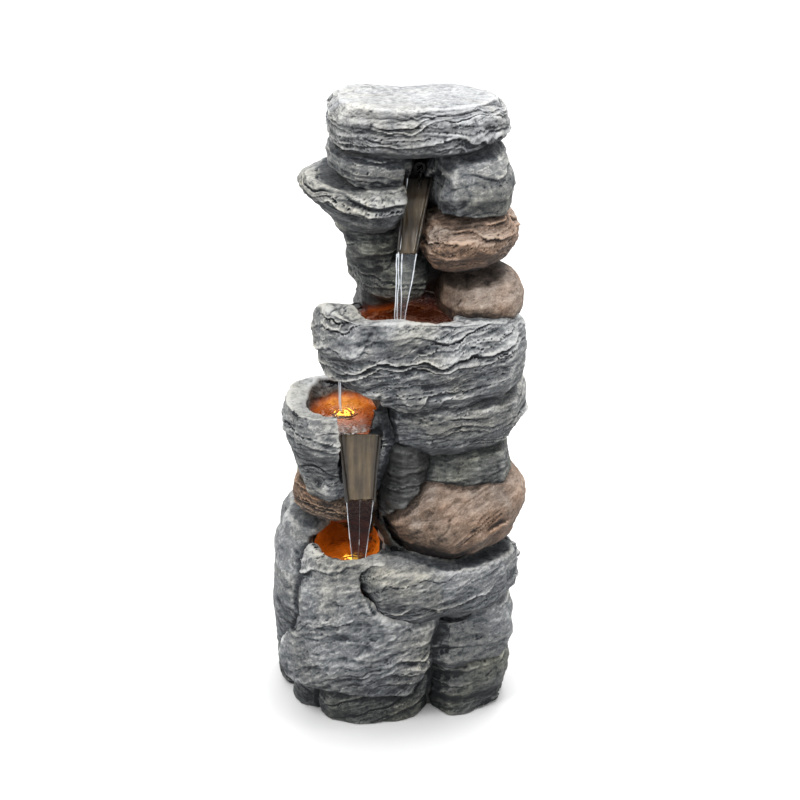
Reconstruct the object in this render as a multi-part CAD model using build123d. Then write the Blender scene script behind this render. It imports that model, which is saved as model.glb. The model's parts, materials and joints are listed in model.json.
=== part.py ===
"""A tiered rock fountain for the garden: hollow resin stones bonded round a reservoir tub and a square
duct, three lit pools, two spillway chutes, and the pump, tube, lamps and leads that make it run.

Frame: millimetres, +Z up, front is -Y, the flat back is +Y. The origin is on the floor, under the tub.
"""

from build123d import *

import math
import os
from dataclasses import dataclass

# ---------------------------------------------------------------- driving dimensions
FAR = 2000.0  # well beyond the fountain
WALL = 6.0  # thickness of a moulded stone
OUTLINE_POINTS = 16  # corners of a stone's plan outline
BACK = 126.0  # plane of the flat back

TUB_LOW, TUB_HIGH = (-140.0, -100.0, 0.0), (130.0, 108.0, 190.0)  # reservoir tub, outside
TUB_WALL = 5.0
CHAMBER_LOW, CHAMBER_HIGH = (-30.0, 34.0, 190.0), (96.0, 116.0, 340.0)  # service space over the pump
DUCT_LOW, DUCT_HIGH = (-26.0, 44.0, 340.0), (74.0, 110.0, 1020.0)  # square duct, outside
DUCT_WALL = 4.0

PANEL_LOW, PANEL_HIGH = (-44.0, 116.0, 178.0), (110.0, BACK, 352.0)
HATCH_LOW, HATCH_HIGH = (-20.0, 205.0), (84.0, 308.0)  # x and z of the opening in the rear panel
HATCH_LIP = 8.0  # how far the door laps the panel
HATCH_REBATE = 6.0
GASKET_THICKNESS = 1.4
SCREW_RADIUS = 2.0
SCREW_HEAD = (4.0, 2.4)  # radius, height
GLAND_AT = (44.0, 100.0, 332.0)
GLAND_RADIUS = 6.0

CHUTE_THICKNESS = 5.0
CHUTE_SIDE = 14.0
CHUTE_CLEAR = 70.0  # height kept free of stone over a chute

LAMP_RADIUS, LAMP_HEIGHT = 17.0, 13.0
LENS_RADIUS, LENS_HEIGHT = 12.5, 6.0
LEAD_RADIUS = 2.0
LEAD_BEND = 20.0
LEAD_GAP = 4.0  # half side of the groove a lead lies in
FIT = 0.05  # radial clearance of a lead in its socket

PUMP_X, PUMP_Y, PUMP_Z = -8.0, 76.0, 41.0  # centre of the motor block
PUMP_SIZE = (60.0, 50.0, 56.0)
PUMP_CORNER = 6.0
SHAFT_RADIUS = 1.5
RUNNING = 0.05  # radial clearance of a turning part
ROTOR_RADIUS, ROTOR_LENGTH = 9.0, 28.0
WELL_RADIUS = 9.6
VOLUTE_RADIUS, VOLUTE_WALL, VOLUTE_LENGTH = 19.0, 3.0, 22.0
VANE_RADIUS = 16.0
VANES = 5
INLET_RADIUS = 8.0
BARB_RADIUS, BARB_BORE = 5.95, 4.2
BARB_X = 34.0
STRAINER_LENGTH = 47.0
STRAINER_WALL = 2.4
DIAL_RADIUS, DIAL_THICKNESS, DIAL_PIN = 13.0, 3.0, 3.0
FOOT_RADIUS, FOOT_HEIGHT = 9.0, 8.0
FOOT_RIM, FOOT_STEM = 1.2, 4.0  # thickness of a suction cup's rim, radius of its stem
FOOT_PITCH = (19.0, 14.0)  # each cup's distance from the pump's middle, along X and Y

TUBE_OUTER, TUBE_INNER = 8.0, 6.0  # radii of the riser tube
TUBE_BEND = 56.0
TUBE_TOP = 1000.0
TUBE_MOUTH_Y = -16.0
TUBE_GAP = 9.0

BOX_LOW, BOX_HIGH = (-29.0, 50.0, 232.0), (3.0, 104.0, 290.0)  # lamp supply box
DRAIN_AT = (-108.0, -16.0)  # x and y of the base pool's drain
DRAIN_RADIUS, DRAIN_WALL = 12.0, 2.0
PLUG_AT = (-100.0, 24.0)  # x and z of the tub's drain plug
PLUG_RADIUS, PLUG_FLANGE = 8.0, 12.0

# ---------------------------------------------------------------- stones
# Side profiles, as (share of the height, share of the outline's size), bottom first.
CAP = ((0.0, 0.80), (0.14, 0.95), (0.4, 1.0), (0.72, 0.93), (1.0, 0.70))
SLAB = ((0.0, 0.84), (0.16, 0.965), (0.5, 1.0), (0.82, 0.97), (1.0, 0.86))
BOULDER = ((0.0, 0.52), (0.14, 0.80), (0.38, 0.98), (0.62, 1.0), (0.86, 0.80), (1.0, 0.50))
DOME = ((0.0, 0.93), (0.3, 1.0), (0.6, 0.96), (0.85, 0.80), (1.0, 0.55))
FUNNEL = ((0.0, 0.66), (0.3, 0.84), (0.62, 0.98), (0.8, 1.0), (1.0, 0.95))
TROUGH = ((0.0, 0.78), (0.14, 0.90), (0.34, 0.965), (0.62, 1.0), (0.84, 0.99), (1.0, 0.93))
LEDGE = ((0.0, 0.70), (0.22, 0.88), (0.45, 0.95), (0.6, 1.0), (0.85, 0.985), (1.0, 0.90))
SHOULDER = ((0.0, 0.90), (0.3, 1.0), (0.7, 0.99), (0.88, 0.93), (1.0, 0.82))
BLOCK = ((0.0, 0.96), (0.5, 1.0), (1.0, 0.95))
BOWL = ((0.0, 0.78), (0.35, 0.90), (0.7, 0.97), (1.0, 1.0))


@dataclass
class Stone:
    """One moulded stone: its plan centre and half size, its height range and its shape."""

    name: str
    centre: tuple  # x, y at mid height
    half: tuple  # x, y
    height: tuple  # bottom z, top z
    profile: tuple = SLAB
    tilt: tuple = (0.0, 0.0)  # degrees about X (front up), degrees about Y (right side down)
    yaw: float = 0.0  # degrees about Z
    squareness: float = 2.6  # exponent of the outline: 2 is an ellipse, 4 is nearly a rectangle
    phase: float = 0.0  # turns the outline's unevenness, so that no two stones are alike
    lean: tuple = (0.0, 0.0)  # how far the top stands off the bottom in x and y


# Each stone is cut to fit against the ones above it in this list.
STONES = [
    Stone("cap_stone", (26, 0), (154, 126), (1042, 1116), CAP, (1, 2), 0, 2.6, 0.3),
    Stone("right_strata_boulder", (114, -6), (85, 122), (834, 938), BOULDER, (0, 1), 3, 3.2, 0.6),
    Stone("right_top_boulder", (122, -4), (73, 112), (934, 1044), DOME, (0, -2), 0, 2.9, 5.0),
    Stone("right_smooth_boulder", (138, -10), (74, 122), (722, 822), BOULDER, (0, -4), 0, 2.4, 2.0),
    Stone("left_ledge", (-78, -10), (90, 116), (916, 988), LEDGE, (2, 7), 0, 2.7, 2.2),
    Stone("upper_left_ledge", (-54, -4), (68, 110), (972, 1044), SLAB, (2, 5), 4, 2.8, 1.4),
    Stone("left_column_stone", (-56, 14), (56, 98), (830, 932), BLOCK, (0, 0), 0, 2.8, 0.9, (-10, 0)),
    Stone("left_neck_stone", (-18, 26), (68, 98), (778, 842), SLAB, (0, 2), 0, 2.8, 3.1),
    Stone("left_foot_stone", (-36, 44), (44, 80), (716, 792), SLAB, (0, 0), 0, 2.4, 4.0),
    Stone("brown_boulder", (84, -34), (136, 134), (302, 466), BOULDER, (0, -9), 0, 2.6, 3.9),
    Stone("upper_basin", (38, -34), (168, 150), (612, 768), TROUGH, (0, 2), 8, 2.9, 1.9, (-26, -8)),
    Stone("strata_slab", (86, -6), (136, 140), (508, 618), LEDGE, (0, 3), 8, 3.0, 0.2),
    Stone("middle_basin", (-98, -54), (110, 118), (434, 598), FUNNEL, (0, 0), 0, 2.4, 0.5),
    Stone("shoulder_stone", (90, 6), (108, 122), (408, 518), SLAB, (0, 0), 0, 2.6, 2.8),
    Stone("brown_ledge", (-110, -26), (90, 106), (386, 442), SLAB, (0, 4), 0, 2.4, 4.4),
    Stone("rear_left_stone", (-62, 76), (92, 56), (384, 560), BLOCK, (0, 0), 0, 2.8, 1.5),
    Stone("base_strata_slab", (54, -82), (152, 126), (206, 314), LEDGE, (0, 3), 17, 2.7, 0.8),
    Stone("base_left_boulder", (-168, -6), (64, 136), (140, 370), DOME, (0, -3), 0, 2.6, 1.0),
    Stone("base_front_boulder", (-64, -106), (126, 92), (66, 326), SHOULDER, (0, 9), 4, 2.4, 2.6),
    Stone("base_rear_stone", (-60, 66), (112, 66), (176, 392), BLOCK, (0, 0), 0, 3.4, 2.2),
    Stone("channel_stone", (6, -34), (58, 92), (330, 530), BLOCK, (0, 0), 0, 2.6, 3.6),
    Stone("niche_stone", (38, 66), (96, 60), (740, 1044), BLOCK, (0, 0), 0, 3.0, 1.1),
    Stone("base_right_middle_stone", (106, -18), (94, 142), (100, 216), SLAB, (0, 3), 8, 2.9, 5.3),
    Stone("base_right_foot", (112, -2), (82, 130), (0, 112), BLOCK, (0, 0), 6, 3.0, 4.7),
    Stone("base_front_foot", (-44, -98), (104, 70), (0, 172), DOME, (0, 0), 0, 2.5, 0.1),
    Stone("base_left_front_foot", (-138, -54), (56, 66), (0, 150), DOME, (0, 0), 0, 2.3, 2.4),
    Stone("base_left_rear_foot", (-176, 42), (54, 92), (0, 200), DOME, (0, 0), 0, 2.3, 5.8),
]

# The hollow of each pool, open at the top.
UPPER_BOWL = Stone("upper_bowl", (10, -66), (88, 94), (700, 774), BOWL, (0, 0), 8, 2.5, 2.7)
MIDDLE_BOWL = Stone("middle_bowl", (-96, -54), (66, 94), (518, 602), BOWL, (0, 0), 0, 2.4, 0.7)
BASE_BOWL = Stone("base_bowl", (-96, -58), (58, 102), (254, 336), BOWL, (0, 0), 0, 2.4, 1.7)
PAN_RIM = 316.0  # height of the base pool pan's rim

# Where water leaves a pool: the low and high corners of each notch in a rim.
UPPER_SPILL = ((-118.0, -78.0, 742.0), (-66.0, -38.0, 800.0))
MIDDLE_SPILL = ((-106.0, -200.0, 553.0), (-32.0, -118.0, 640.0))
# The upper basin stops short here, so that its spill falls clear into the middle pool: x and y.
BASIN_TRIM = ((-400, -46), (-98, -46), (-84, -10), (-72, 14), (-72, 400), (-400, 400))


@dataclass
class Chute:
    """A tapering spillway: the middle of its head and of its lip, and its width at each."""

    name: str
    head: tuple
    lip: tuple
    head_width: float
    lip_width: float


UPPER_CHUTE = Chute("upper_chute", (32, -26, 984), (12, -104, 874), 50.0, 36.0)
MIDDLE_CHUTE = Chute("middle_chute", (-69, -138, 558), (-69, -148, 438), 76.0, 52.0)

UPPER_LAMP = (-12.0, -92.0, 700.0)
MIDDLE_LAMP = (-98.0, -4.0, 518.0)
BASE_LAMP = (-86.0, -75.0, 254.0)
SOCKET_DEPTH = 5.0
LEAD_RISE = 6.5  # a lead's height over its lamp's foot

UPPER_LEAD = [
    (UPPER_LAMP[0], UPPER_LAMP[1] + LAMP_RADIUS - SOCKET_DEPTH, UPPER_LAMP[2] + LEAD_RISE),
    (UPPER_LAMP[0], 62.0, UPPER_LAMP[2] + LEAD_RISE),
    (UPPER_LAMP[0], 62.0, BOX_HIGH[2]),
]
MIDDLE_LEAD = [
    (MIDDLE_LAMP[0], MIDDLE_LAMP[1] + LAMP_RADIUS - SOCKET_DEPTH, MIDDLE_LAMP[2] + LEAD_RISE),
    (MIDDLE_LAMP[0], 88.0, MIDDLE_LAMP[2] + LEAD_RISE),
    (UPPER_LAMP[0], 88.0, MIDDLE_LAMP[2] + LEAD_RISE),
    (UPPER_LAMP[0], 88.0, BOX_HIGH[2]),
]
BASE_LEAD = [
    (BASE_LAMP[0], BASE_LAMP[1] + LAMP_RADIUS - SOCKET_DEPTH, BASE_LAMP[2] + LEAD_RISE),
    (BASE_LAMP[0], 74.0, BASE_LAMP[2] + LEAD_RISE),
    (BOX_LOW[0], 74.0, BASE_LAMP[2] + LEAD_RISE),
]
PUMP_LEAD = [(-14.0, PUMP_Y, PUMP_Z + PUMP_SIZE[2] / 2), (-14.0, PUMP_Y, BOX_LOW[2])]
RISER = [
    (BARB_X, PUMP_Y, 76.0),
    (BARB_X, PUMP_Y, TUBE_TOP),
    (BARB_X, TUBE_MOUTH_Y, TUBE_TOP),
]


# ---------------------------------------------------------------- shapes
def box(low, high, grow=0.0):
    """A box between two corners, grown on every side."""
    size = [abs(b - a) + 2 * grow for a, b in zip(low, high)]
    middle = [(a + b) / 2 for a, b in zip(low, high)]
    return Pos(*middle) * Box(*size)


def rod(start, direction, radius, length):
    """A cylinder from a point along a direction."""
    return extrude(Plane(origin=start, z_dir=direction) * Circle(radius), length)


def outline(stone, inset=0.0):
    """The stone's plan outline about its own centre: an uneven superellipse."""
    points = []
    for i in range(OUTLINE_POINTS):
        a = 2 * math.pi * i / OUTLINE_POINTS
        c, s, n = abs(math.cos(a)), abs(math.sin(a)), stone.squareness
        radius = (c**n + s**n) ** (-1 / n)
        uneven = (
            1
            + 0.045 * math.sin(2 * a + stone.phase)
            + 0.035 * math.sin(3 * a + 1.7 * stone.phase)
            + 0.02 * math.sin(5 * a + 2.3 * stone.phase)
        )
        x = (stone.half[0] - inset) * radius * uneven * math.cos(a)
        y = (stone.half[1] - inset) * radius * uneven * math.sin(a)
        points.append((x, y))
    return points


def polyhedron(rings):
    """A closed solid through rings of points, bottom first. Each ring is a scaled and shifted copy of the
    others, so every side face is flat."""
    faces = [Face(Wire.make_polygon(rings[0][::-1])), Face(Wire.make_polygon(rings[-1]))]
    for low, high in zip(rings, rings[1:]):
        for i in range(len(low)):
            j = (i + 1) % len(low)
            faces.append(Face(Wire.make_polygon([low[i], low[j], high[j], high[i]])))
    return Solid(Shell(faces))


def stone_body(stone, inset=0.0):
    """The outside of a stone, drawn in by inset all round, or grown where inset is negative."""
    low, high = stone.height[0] + inset, stone.height[1] - inset
    plan = outline(stone, inset)
    middle = (low + high) / 2
    rings = []
    for share, scale in stone.profile:
        dx, dy = ((share - 0.5) * lean for lean in stone.lean)
        z = low + share * (high - low) - middle
        rings.append([(x * scale + dx, y * scale + dy, z) for x, y in plan])
    turn = Pos(*stone.centre, middle) * Rot(0, 0, stone.yaw) * Rot(*stone.tilt, 0)
    return turn * polyhedron(rings)


def touching(a, b):
    """Whether two shapes' bounding boxes meet."""
    p, q = a.bounding_box(), b.bounding_box()
    return all(
        getattr(p.min, k) < getattr(q.max, k) and getattr(q.min, k) < getattr(p.max, k) for k in "XYZ"
    )


def cut(shape, tools):
    """The shape less every tool that reaches it."""
    for tool in tools:
        if touching(shape, tool):
            shape = shape - tool
    return shape


def largest(shape):
    """The biggest solid of a cut stone. What a cut leaves beside it is a crumb, and is dropped."""
    return max(shape.solids(), key=lambda solid: solid.volume)


def routed(points, radius, bend, bore=0.0):
    """A round lead or tube along straight runs joined by arcs of one radius."""
    path = FilletPolyline(*points, radius=bend) if len(points) > 2 else Line(*points)
    start = Plane(origin=path @ 0, z_dir=path % 0)
    shape = sweep(start * Circle(radius), path=path)
    if bore:
        shape = shape - sweep(start * Circle(bore), path=path)
    return shape


def groove(points, bend, half, grow=0.0):
    """Boxes that clear a routed lead or tube: one along each run and one round each bend."""
    boxes = []
    for a, b in zip(points, points[1:]):
        low = [min(p, q) - half for p, q in zip(a, b)]
        high = [max(p, q) + half for p, q in zip(a, b)]
        boxes.append(box(low, high, grow))
    for a, corner, b in zip(points, points[1:], points[2:]):
        ends = [corner]
        for end in (a, b):
            run = Vector(*end) - Vector(*corner)
            ends.append(tuple(Vector(*corner) + run.normalized() * bend))
        low = [min(e[k] for e in ends) - half for k in range(3)]
        high = [max(e[k] for e in ends) + half for k in range(3)]
        boxes.append(box(low, high, grow))
    return boxes


# ---------------------------------------------------------------- chutes
def chute_frame(chute):
    """The chute's floor plane at its head, and its length: local Y runs back up the slope."""
    down = Vector(*chute.lip) - Vector(*chute.head)
    across = Vector(1, 0, 0)
    along = (down - across * down.dot(across)).normalized()
    normal = across.cross(along * -1)
    return Plane(origin=chute.head, x_dir=across, z_dir=normal), down


def chute_prism(chute, trim, low, high, extra=0.0):
    """A tapering prism on the chute's floor plane, its sides drawn in by trim, from low to high."""
    plane, down = chute_frame(chute)
    length = abs(down.dot(plane.y_dir))
    shift = down.X
    a = chute.head_width / 2 - trim
    b = chute.lip_width / 2 - trim
    points = [(-a, extra), (a, extra), (shift + b, -length - extra), (shift - b, -length - extra)]
    prism = extrude(Plane.XY * make_face(Polyline(*points, close=True)), high - low)
    return plane * (Pos(0, 0, low) * prism)


def chute_shape(chute):
    """A U-shaped spillway: a flat floor between two low sides."""
    outside = chute_prism(chute, 0.0, -CHUTE_THICKNESS, CHUTE_SIDE)
    flow = chute_prism(chute, CHUTE_THICKNESS, 0.0, CHUTE_SIDE + 1.0, 1.0)
    return outside - flow


def chute_room(chute, grow=0.0):
    """What stones leave free for a chute and the water over it."""
    return chute_prism(chute, -grow, -CHUTE_THICKNESS - grow, CHUTE_CLEAR + grow, grow)


# ---------------------------------------------------------------- stones
def reserved_spaces():
    """Pairs of (space, space with a wall's thickness more) that no stone may fill."""
    pairs = [
        (box(TUB_LOW, TUB_HIGH), box(TUB_LOW, TUB_HIGH, WALL)),
        (box(CHAMBER_LOW, CHAMBER_HIGH), box(CHAMBER_LOW, CHAMBER_HIGH, WALL)),
        (box(DUCT_LOW, DUCT_HIGH), box(DUCT_LOW, DUCT_HIGH, WALL)),
        (box(PANEL_LOW, PANEL_HIGH), box(PANEL_LOW, PANEL_HIGH, WALL)),
        (box((-FAR, BACK, -FAR), (FAR, FAR, FAR)), box((-FAR, BACK - WALL, -FAR), (FAR, FAR, FAR))),
        (stone_body(UPPER_BOWL), stone_body(UPPER_BOWL, -WALL)),
        (stone_body(MIDDLE_BOWL), stone_body(MIDDLE_BOWL, -WALL)),
        (stone_body(BASE_BOWL, -WALL), stone_body(BASE_BOWL, -2 * WALL)),
        (box(*UPPER_SPILL), box(*UPPER_SPILL, WALL)),
        (box(*MIDDLE_SPILL), box(*MIDDLE_SPILL, WALL)),
        (chute_room(UPPER_CHUTE), chute_room(UPPER_CHUTE, WALL)),
        (chute_room(MIDDLE_CHUTE), chute_room(MIDDLE_CHUTE, WALL)),
    ]
    for points in (UPPER_LEAD, MIDDLE_LEAD, BASE_LEAD):
        pairs += zip(groove(points, LEAD_BEND, LEAD_GAP), groove(points, LEAD_BEND, LEAD_GAP, WALL))
    pairs += zip(groove(RISER, TUBE_BEND, TUBE_GAP), groove(RISER, TUBE_BEND, TUBE_GAP, WALL))
    drain_low = (DRAIN_AT[0] - DRAIN_RADIUS, DRAIN_AT[1] - DRAIN_RADIUS, TUB_HIGH[2])
    drain_high = (DRAIN_AT[0] + DRAIN_RADIUS, DRAIN_AT[1] + DRAIN_RADIUS, BASE_BOWL.height[0])
    pairs.append((box(drain_low, drain_high, 1.0), box(drain_low, drain_high, WALL)))
    plug_low = (PLUG_AT[0] - PLUG_FLANGE, TUB_HIGH[1], PLUG_AT[1] - PLUG_FLANGE)
    plug_high = (PLUG_AT[0] + PLUG_FLANGE, BACK, PLUG_AT[1] + PLUG_FLANGE)
    pairs.append((box(plug_low, plug_high, 2.0), box(plug_low, plug_high, 2.0 + WALL)))
    return pairs


def basin_trim(grow=0.0):
    """The corner that the upper basin leaves free behind its left wing."""
    low, high = UPPER_SPILL[0][2] - 200.0, UPPER_SPILL[1][2]
    trim = offset(make_face(Polyline(*BASIN_TRIM, close=True)), grow, kind=Kind.INTERSECTION)
    return Pos(0, 0, low) * extrude(trim, high - low)


def moulded_stones():
    """Every stone, cut against its neighbours and hollow, with a wall all round its cavity."""
    neighbours = reserved_spaces()
    stones = {}
    for stone in STONES:
        body = stone_body(stone)
        trims = [(basin_trim(), basin_trim(WALL))] if stone.name == "upper_basin" else []
        shape = largest(cut(body, [space for space, _ in neighbours + trims]))
        hollow = cut(stone_body(stone, WALL), [walled for _, walled in neighbours + trims])
        for cavity in hollow.solids():
            shape = shape - cavity
        stones[stone.name] = shape
        neighbours.append((body, stone_body(stone, -WALL)))
    return stones


# ---------------------------------------------------------------- tub, pan, duct and rear panel
def tub():
    """The reservoir: an open box with a drain hole low in its back."""
    inside_low = [v + TUB_WALL for v in TUB_LOW]
    inside_high = (TUB_HIGH[0] - TUB_WALL, TUB_HIGH[1] - TUB_WALL, TUB_HIGH[2] + 1.0)
    shape = box(TUB_LOW, TUB_HIGH) - box(inside_low, inside_high)
    hole = rod((PLUG_AT[0], TUB_HIGH[1] - 2 * TUB_WALL, PLUG_AT[1]), (0, 1, 0), PLUG_RADIUS, 3 * TUB_WALL)
    return shape - hole


def base_pool_pan():
    """The lowest pool's pan, with a hole in its floor for the drain."""
    outside = stone_body(BASE_BOWL, -WALL)
    shape = outside - stone_body(BASE_BOWL)
    shape = shape - box((-FAR, -FAR, PAN_RIM), (FAR, FAR, FAR))
    others = [stone_body(s) for s in STONES if s.name in ("brown_boulder", "middle_basin", "brown_ledge")]
    shape = largest(cut(shape, others + groove(BASE_LEAD, LEAD_BEND, LEAD_GAP)[:1]))
    floor = BASE_BOWL.height[0]
    return shape - rod((*DRAIN_AT, floor - 2 * WALL), (0, 0, 1), DRAIN_RADIUS + FIT, 4 * WALL)


def drain_pipe():
    """The short pipe from the base pool's floor into the tub."""
    top = BASE_BOWL.height[0]
    length = top - TUB_HIGH[2] + 20.0
    start = (*DRAIN_AT, top - length)
    wall = rod(start, (0, 0, 1), DRAIN_RADIUS, length)
    return wall - rod(start, (0, 0, 1), DRAIN_RADIUS - DRAIN_WALL, length)


def drain_strainer():
    """A slotted disc that lifts out of the base pool's drain."""
    floor = BASE_BOWL.height[0]
    thickness, slot = 3.0, 2.0
    disc = rod((*DRAIN_AT, floor), (0, 0, 1), DRAIN_RADIUS + 5.0, thickness)
    tail = rod((*DRAIN_AT, floor - 10.0), (0, 0, 1), DRAIN_RADIUS - DRAIN_WALL - 0.1, 10.0)
    tail = tail - rod((*DRAIN_AT, floor - 10.0), (0, 0, 1), DRAIN_RADIUS - DRAIN_WALL - 1.6, 10.0)
    knob = rod((*DRAIN_AT, floor + thickness), (0, 0, 1), 3.0, 7.0)
    shape = disc + tail + knob
    for i in range(-1, 2):
        if i:
            for j in (-1, 1):
                x, y = DRAIN_AT[0] + 5.0 * i, DRAIN_AT[1]
                low = (x - slot / 2, y + min(0, j * 7.5), floor - 1.0)
                high = (x + slot / 2, y + max(0, j * 7.5), floor + thickness + 1.0)
                shape = shape - box(low, high)
    return shape


def core_duct():
    """The square duct behind the stones that the riser tube and the lamp leads climb in."""
    inside_low = (DUCT_LOW[0] + DUCT_WALL, DUCT_LOW[1] + DUCT_WALL, DUCT_LOW[2] - 1.0)
    inside_high = (DUCT_HIGH[0] - DUCT_WALL, DUCT_HIGH[1] - DUCT_WALL, DUCT_HIGH[2] - DUCT_WALL)
    shape = box(DUCT_LOW, DUCT_HIGH) - box(inside_low, inside_high)
    upper_run = groove(UPPER_LEAD, LEAD_BEND, LEAD_GAP)[0]
    middle = groove(MIDDLE_LEAD, LEAD_BEND, LEAD_GAP)
    middle_run, middle_bend = middle[1], middle[4]
    return cut(shape, [upper_run, middle_run, middle_bend, *groove(RISER, TUBE_BEND, TUBE_GAP)[1:]])


def hatch_screw_places():
    """The four screws' x and z."""
    inset = HATCH_LIP / 2
    xs = (HATCH_LOW[0] - inset, HATCH_HIGH[0] + inset)
    zs = (HATCH_LOW[1] - inset, HATCH_HIGH[1] + inset)
    return [(x, z) for x in xs for z in zs]


def hatch_plate(front, back, grow):
    """A plate over the hatch opening, lapping it by grow."""
    low = (HATCH_LOW[0] - grow, front, HATCH_LOW[1] - grow)
    high = (HATCH_HIGH[0] + grow, back, HATCH_HIGH[1] + grow)
    return box(low, high)


def rear_panel():
    """The plate behind the service space, with a rebated opening and a hole for the cable gland."""
    shape = box(PANEL_LOW, PANEL_HIGH)
    shape = shape - hatch_plate(PANEL_LOW[1] - 1.0, BACK + 1.0, 0.0)
    shape = shape - hatch_plate(BACK - HATCH_REBATE, BACK + 1.0, HATCH_LIP + 0.4)
    for x, z in hatch_screw_places():
        shape = shape - rod((x, PANEL_LOW[1] - 1.0, z), (0, 1, 0), SCREW_RADIUS + RUNNING, 12.0)
    return shape - rod(GLAND_AT, (0, 1, 0), GLAND_RADIUS + RUNNING, 40.0)


def hatch_gasket():
    """The foam seal between the door and the panel."""
    front = BACK - HATCH_REBATE
    shape = hatch_plate(front, front + GASKET_THICKNESS, HATCH_LIP - 0.4)
    shape = shape - hatch_plate(front - 1.0, front + GASKET_THICKNESS + 1.0, 0.0)
    for x, z in hatch_screw_places():
        shape = shape - rod((x, front - 1.0, z), (0, 1, 0), SCREW_RADIUS + 0.4, 6.0)
    return shape


def hatch_door():
    """The door over the pump, with a raised back that fills the opening and four counterbored holes."""
    front = BACK - HATCH_REBATE + GASKET_THICKNESS
    shape = hatch_plate(front, BACK, HATCH_LIP - 0.4)
    shape = shape + hatch_plate(PANEL_LOW[1] + 1.0, front, -1.0)
    shape = shape - hatch_plate(PANEL_LOW[1], front, -6.0)
    for x, z in hatch_screw_places():
        shape = shape - rod((x, front - 1.0, z), (0, 1, 0), SCREW_RADIUS + 0.2, 12.0)
        shape = shape - rod((x, BACK - SCREW_HEAD[1], z), (0, 1, 0), SCREW_HEAD[0] + 0.3, 6.0)
    return shape


def hatch_screws():
    """Four pan-head screws with crossed slots."""
    screws = []
    for x, z in hatch_screw_places():
        head_back = BACK - SCREW_HEAD[1]
        screw = rod((x, PANEL_LOW[1] + 0.5, z), (0, 1, 0), SCREW_RADIUS, head_back - PANEL_LOW[1] - 0.5)
        screw = screw + rod((x, head_back, z), (0, 1, 0), SCREW_HEAD[0], SCREW_HEAD[1])
        for size in ((4.4, 0.9), (0.9, 4.4)):
            screw = screw - Pos(x, BACK, z) * Box(size[0], 2.4, size[1])
        screws.append(screw)
    return Compound(children=screws)


def cable_gland():
    """The gland the mains lead would come out through: the lead itself is left out."""
    x, _, z = GLAND_AT
    inner = PANEL_LOW[1] - 4.0
    shape = rod((x, inner, z), (0, 1, 0), GLAND_RADIUS, BACK - inner)
    shape = shape + rod((x, BACK, z), (0, 1, 0), GLAND_RADIUS + 3.0, 4.0)
    return shape - rod((x, inner, z), (0, 1, 0), 3.4, 30.0)


def drain_plug():
    """The rubber plug in the tub's drain, with a flange and a finger tab."""
    x, z = PLUG_AT
    face = TUB_HIGH[1]
    shape = rod((x, face - TUB_WALL - 2.0, z), (0, 1, 0), PLUG_RADIUS - RUNNING, TUB_WALL + 2.0)
    shape = shape + rod((x, face, z), (0, 1, 0), PLUG_FLANGE, 4.0)
    tab = box((x - 2.0, face + 4.0, z - 8.0), (x + 2.0, face + 14.0, z + 8.0))
    return shape + tab


# ---------------------------------------------------------------- pump
def pump_housing():
    """The motor block with its rotor well, volute ring and outlet barb."""
    block = Pos(PUMP_X, PUMP_Y, PUMP_Z) * Box(*PUMP_SIZE)
    block = fillet(block.edges().filter_by(Axis.X), PUMP_CORNER)
    face = PUMP_X + PUMP_SIZE[0] / 2
    axis = (1, 0, 0)
    ring = rod((face, PUMP_Y, PUMP_Z), axis, VOLUTE_RADIUS + VOLUTE_WALL, VOLUTE_LENGTH)
    barb = rod((BARB_X, PUMP_Y, PUMP_Z), (0, 0, 1), BARB_RADIUS, 56.0)
    neck = rod((BARB_X, PUMP_Y, PUMP_Z), (0, 0, 1), BARB_RADIUS + 1.6, 33.0)
    shape = block + ring + barb + neck
    shape = shape - rod((face, PUMP_Y, PUMP_Z), axis, VOLUTE_RADIUS, VOLUTE_LENGTH + 1.0)
    shape = shape - rod((BARB_X, PUMP_Y, PUMP_Z), (0, 0, 1), BARB_BORE, 60.0)
    shape = shape - rod((face - ROTOR_LENGTH - 2.0, PUMP_Y, PUMP_Z), axis, WELL_RADIUS, ROTOR_LENGTH + 3.0)
    shaft = rod((face - ROTOR_LENGTH - 6.0, PUMP_Y, PUMP_Z), axis, SHAFT_RADIUS, ROTOR_LENGTH + 22.0)
    return shape + shaft


def pump_impeller():
    """The magnet rotor and its five vanes, turning on the fixed shaft."""
    face = PUMP_X + PUMP_SIZE[0] / 2
    axis = (1, 0, 0)
    start = (face - ROTOR_LENGTH, PUMP_Y, PUMP_Z)
    shape = rod(start, axis, ROTOR_RADIUS, ROTOR_LENGTH)
    shape = shape + rod((face, PUMP_Y, PUMP_Z), axis, 4.0, 15.0)
    plate = rod((face + 1.0, PUMP_Y, PUMP_Z), axis, VANE_RADIUS, 1.6)
    shape = shape + plate + rod((face - 0.5, PUMP_Y, PUMP_Z), axis, 5.0, 2.0)
    for i in range(VANES):
        turn = Pos(0, PUMP_Y, PUMP_Z) * Rot(360.0 * i / VANES, 0, 0)
        vane = turn * box((face + 2.0, -0.9, 3.0), (face + 13.0, 0.9, VANE_RADIUS - 0.4))
        shape = shape + vane
    return shape - rod((face - ROTOR_LENGTH - 1.0, PUMP_Y, PUMP_Z), axis, SHAFT_RADIUS + RUNNING, 60.0)


def pump_volute_cover():
    """The round cover over the impeller, with the inlet hole and a shaft steady across it."""
    x = PUMP_X + PUMP_SIZE[0] / 2 + VOLUTE_LENGTH
    axis = (1, 0, 0)
    shape = rod((x, PUMP_Y, PUMP_Z), axis, VOLUTE_RADIUS + VOLUTE_WALL, 3.0)
    return shape - rod((x - 1.0, PUMP_Y, PUMP_Z), axis, INLET_RADIUS, 6.0)


def strainer_ends():
    """The strainer cover's inner and outer x."""
    inner = PUMP_X + PUMP_SIZE[0] / 2 + 0.3
    return inner, inner + STRAINER_LENGTH


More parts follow.
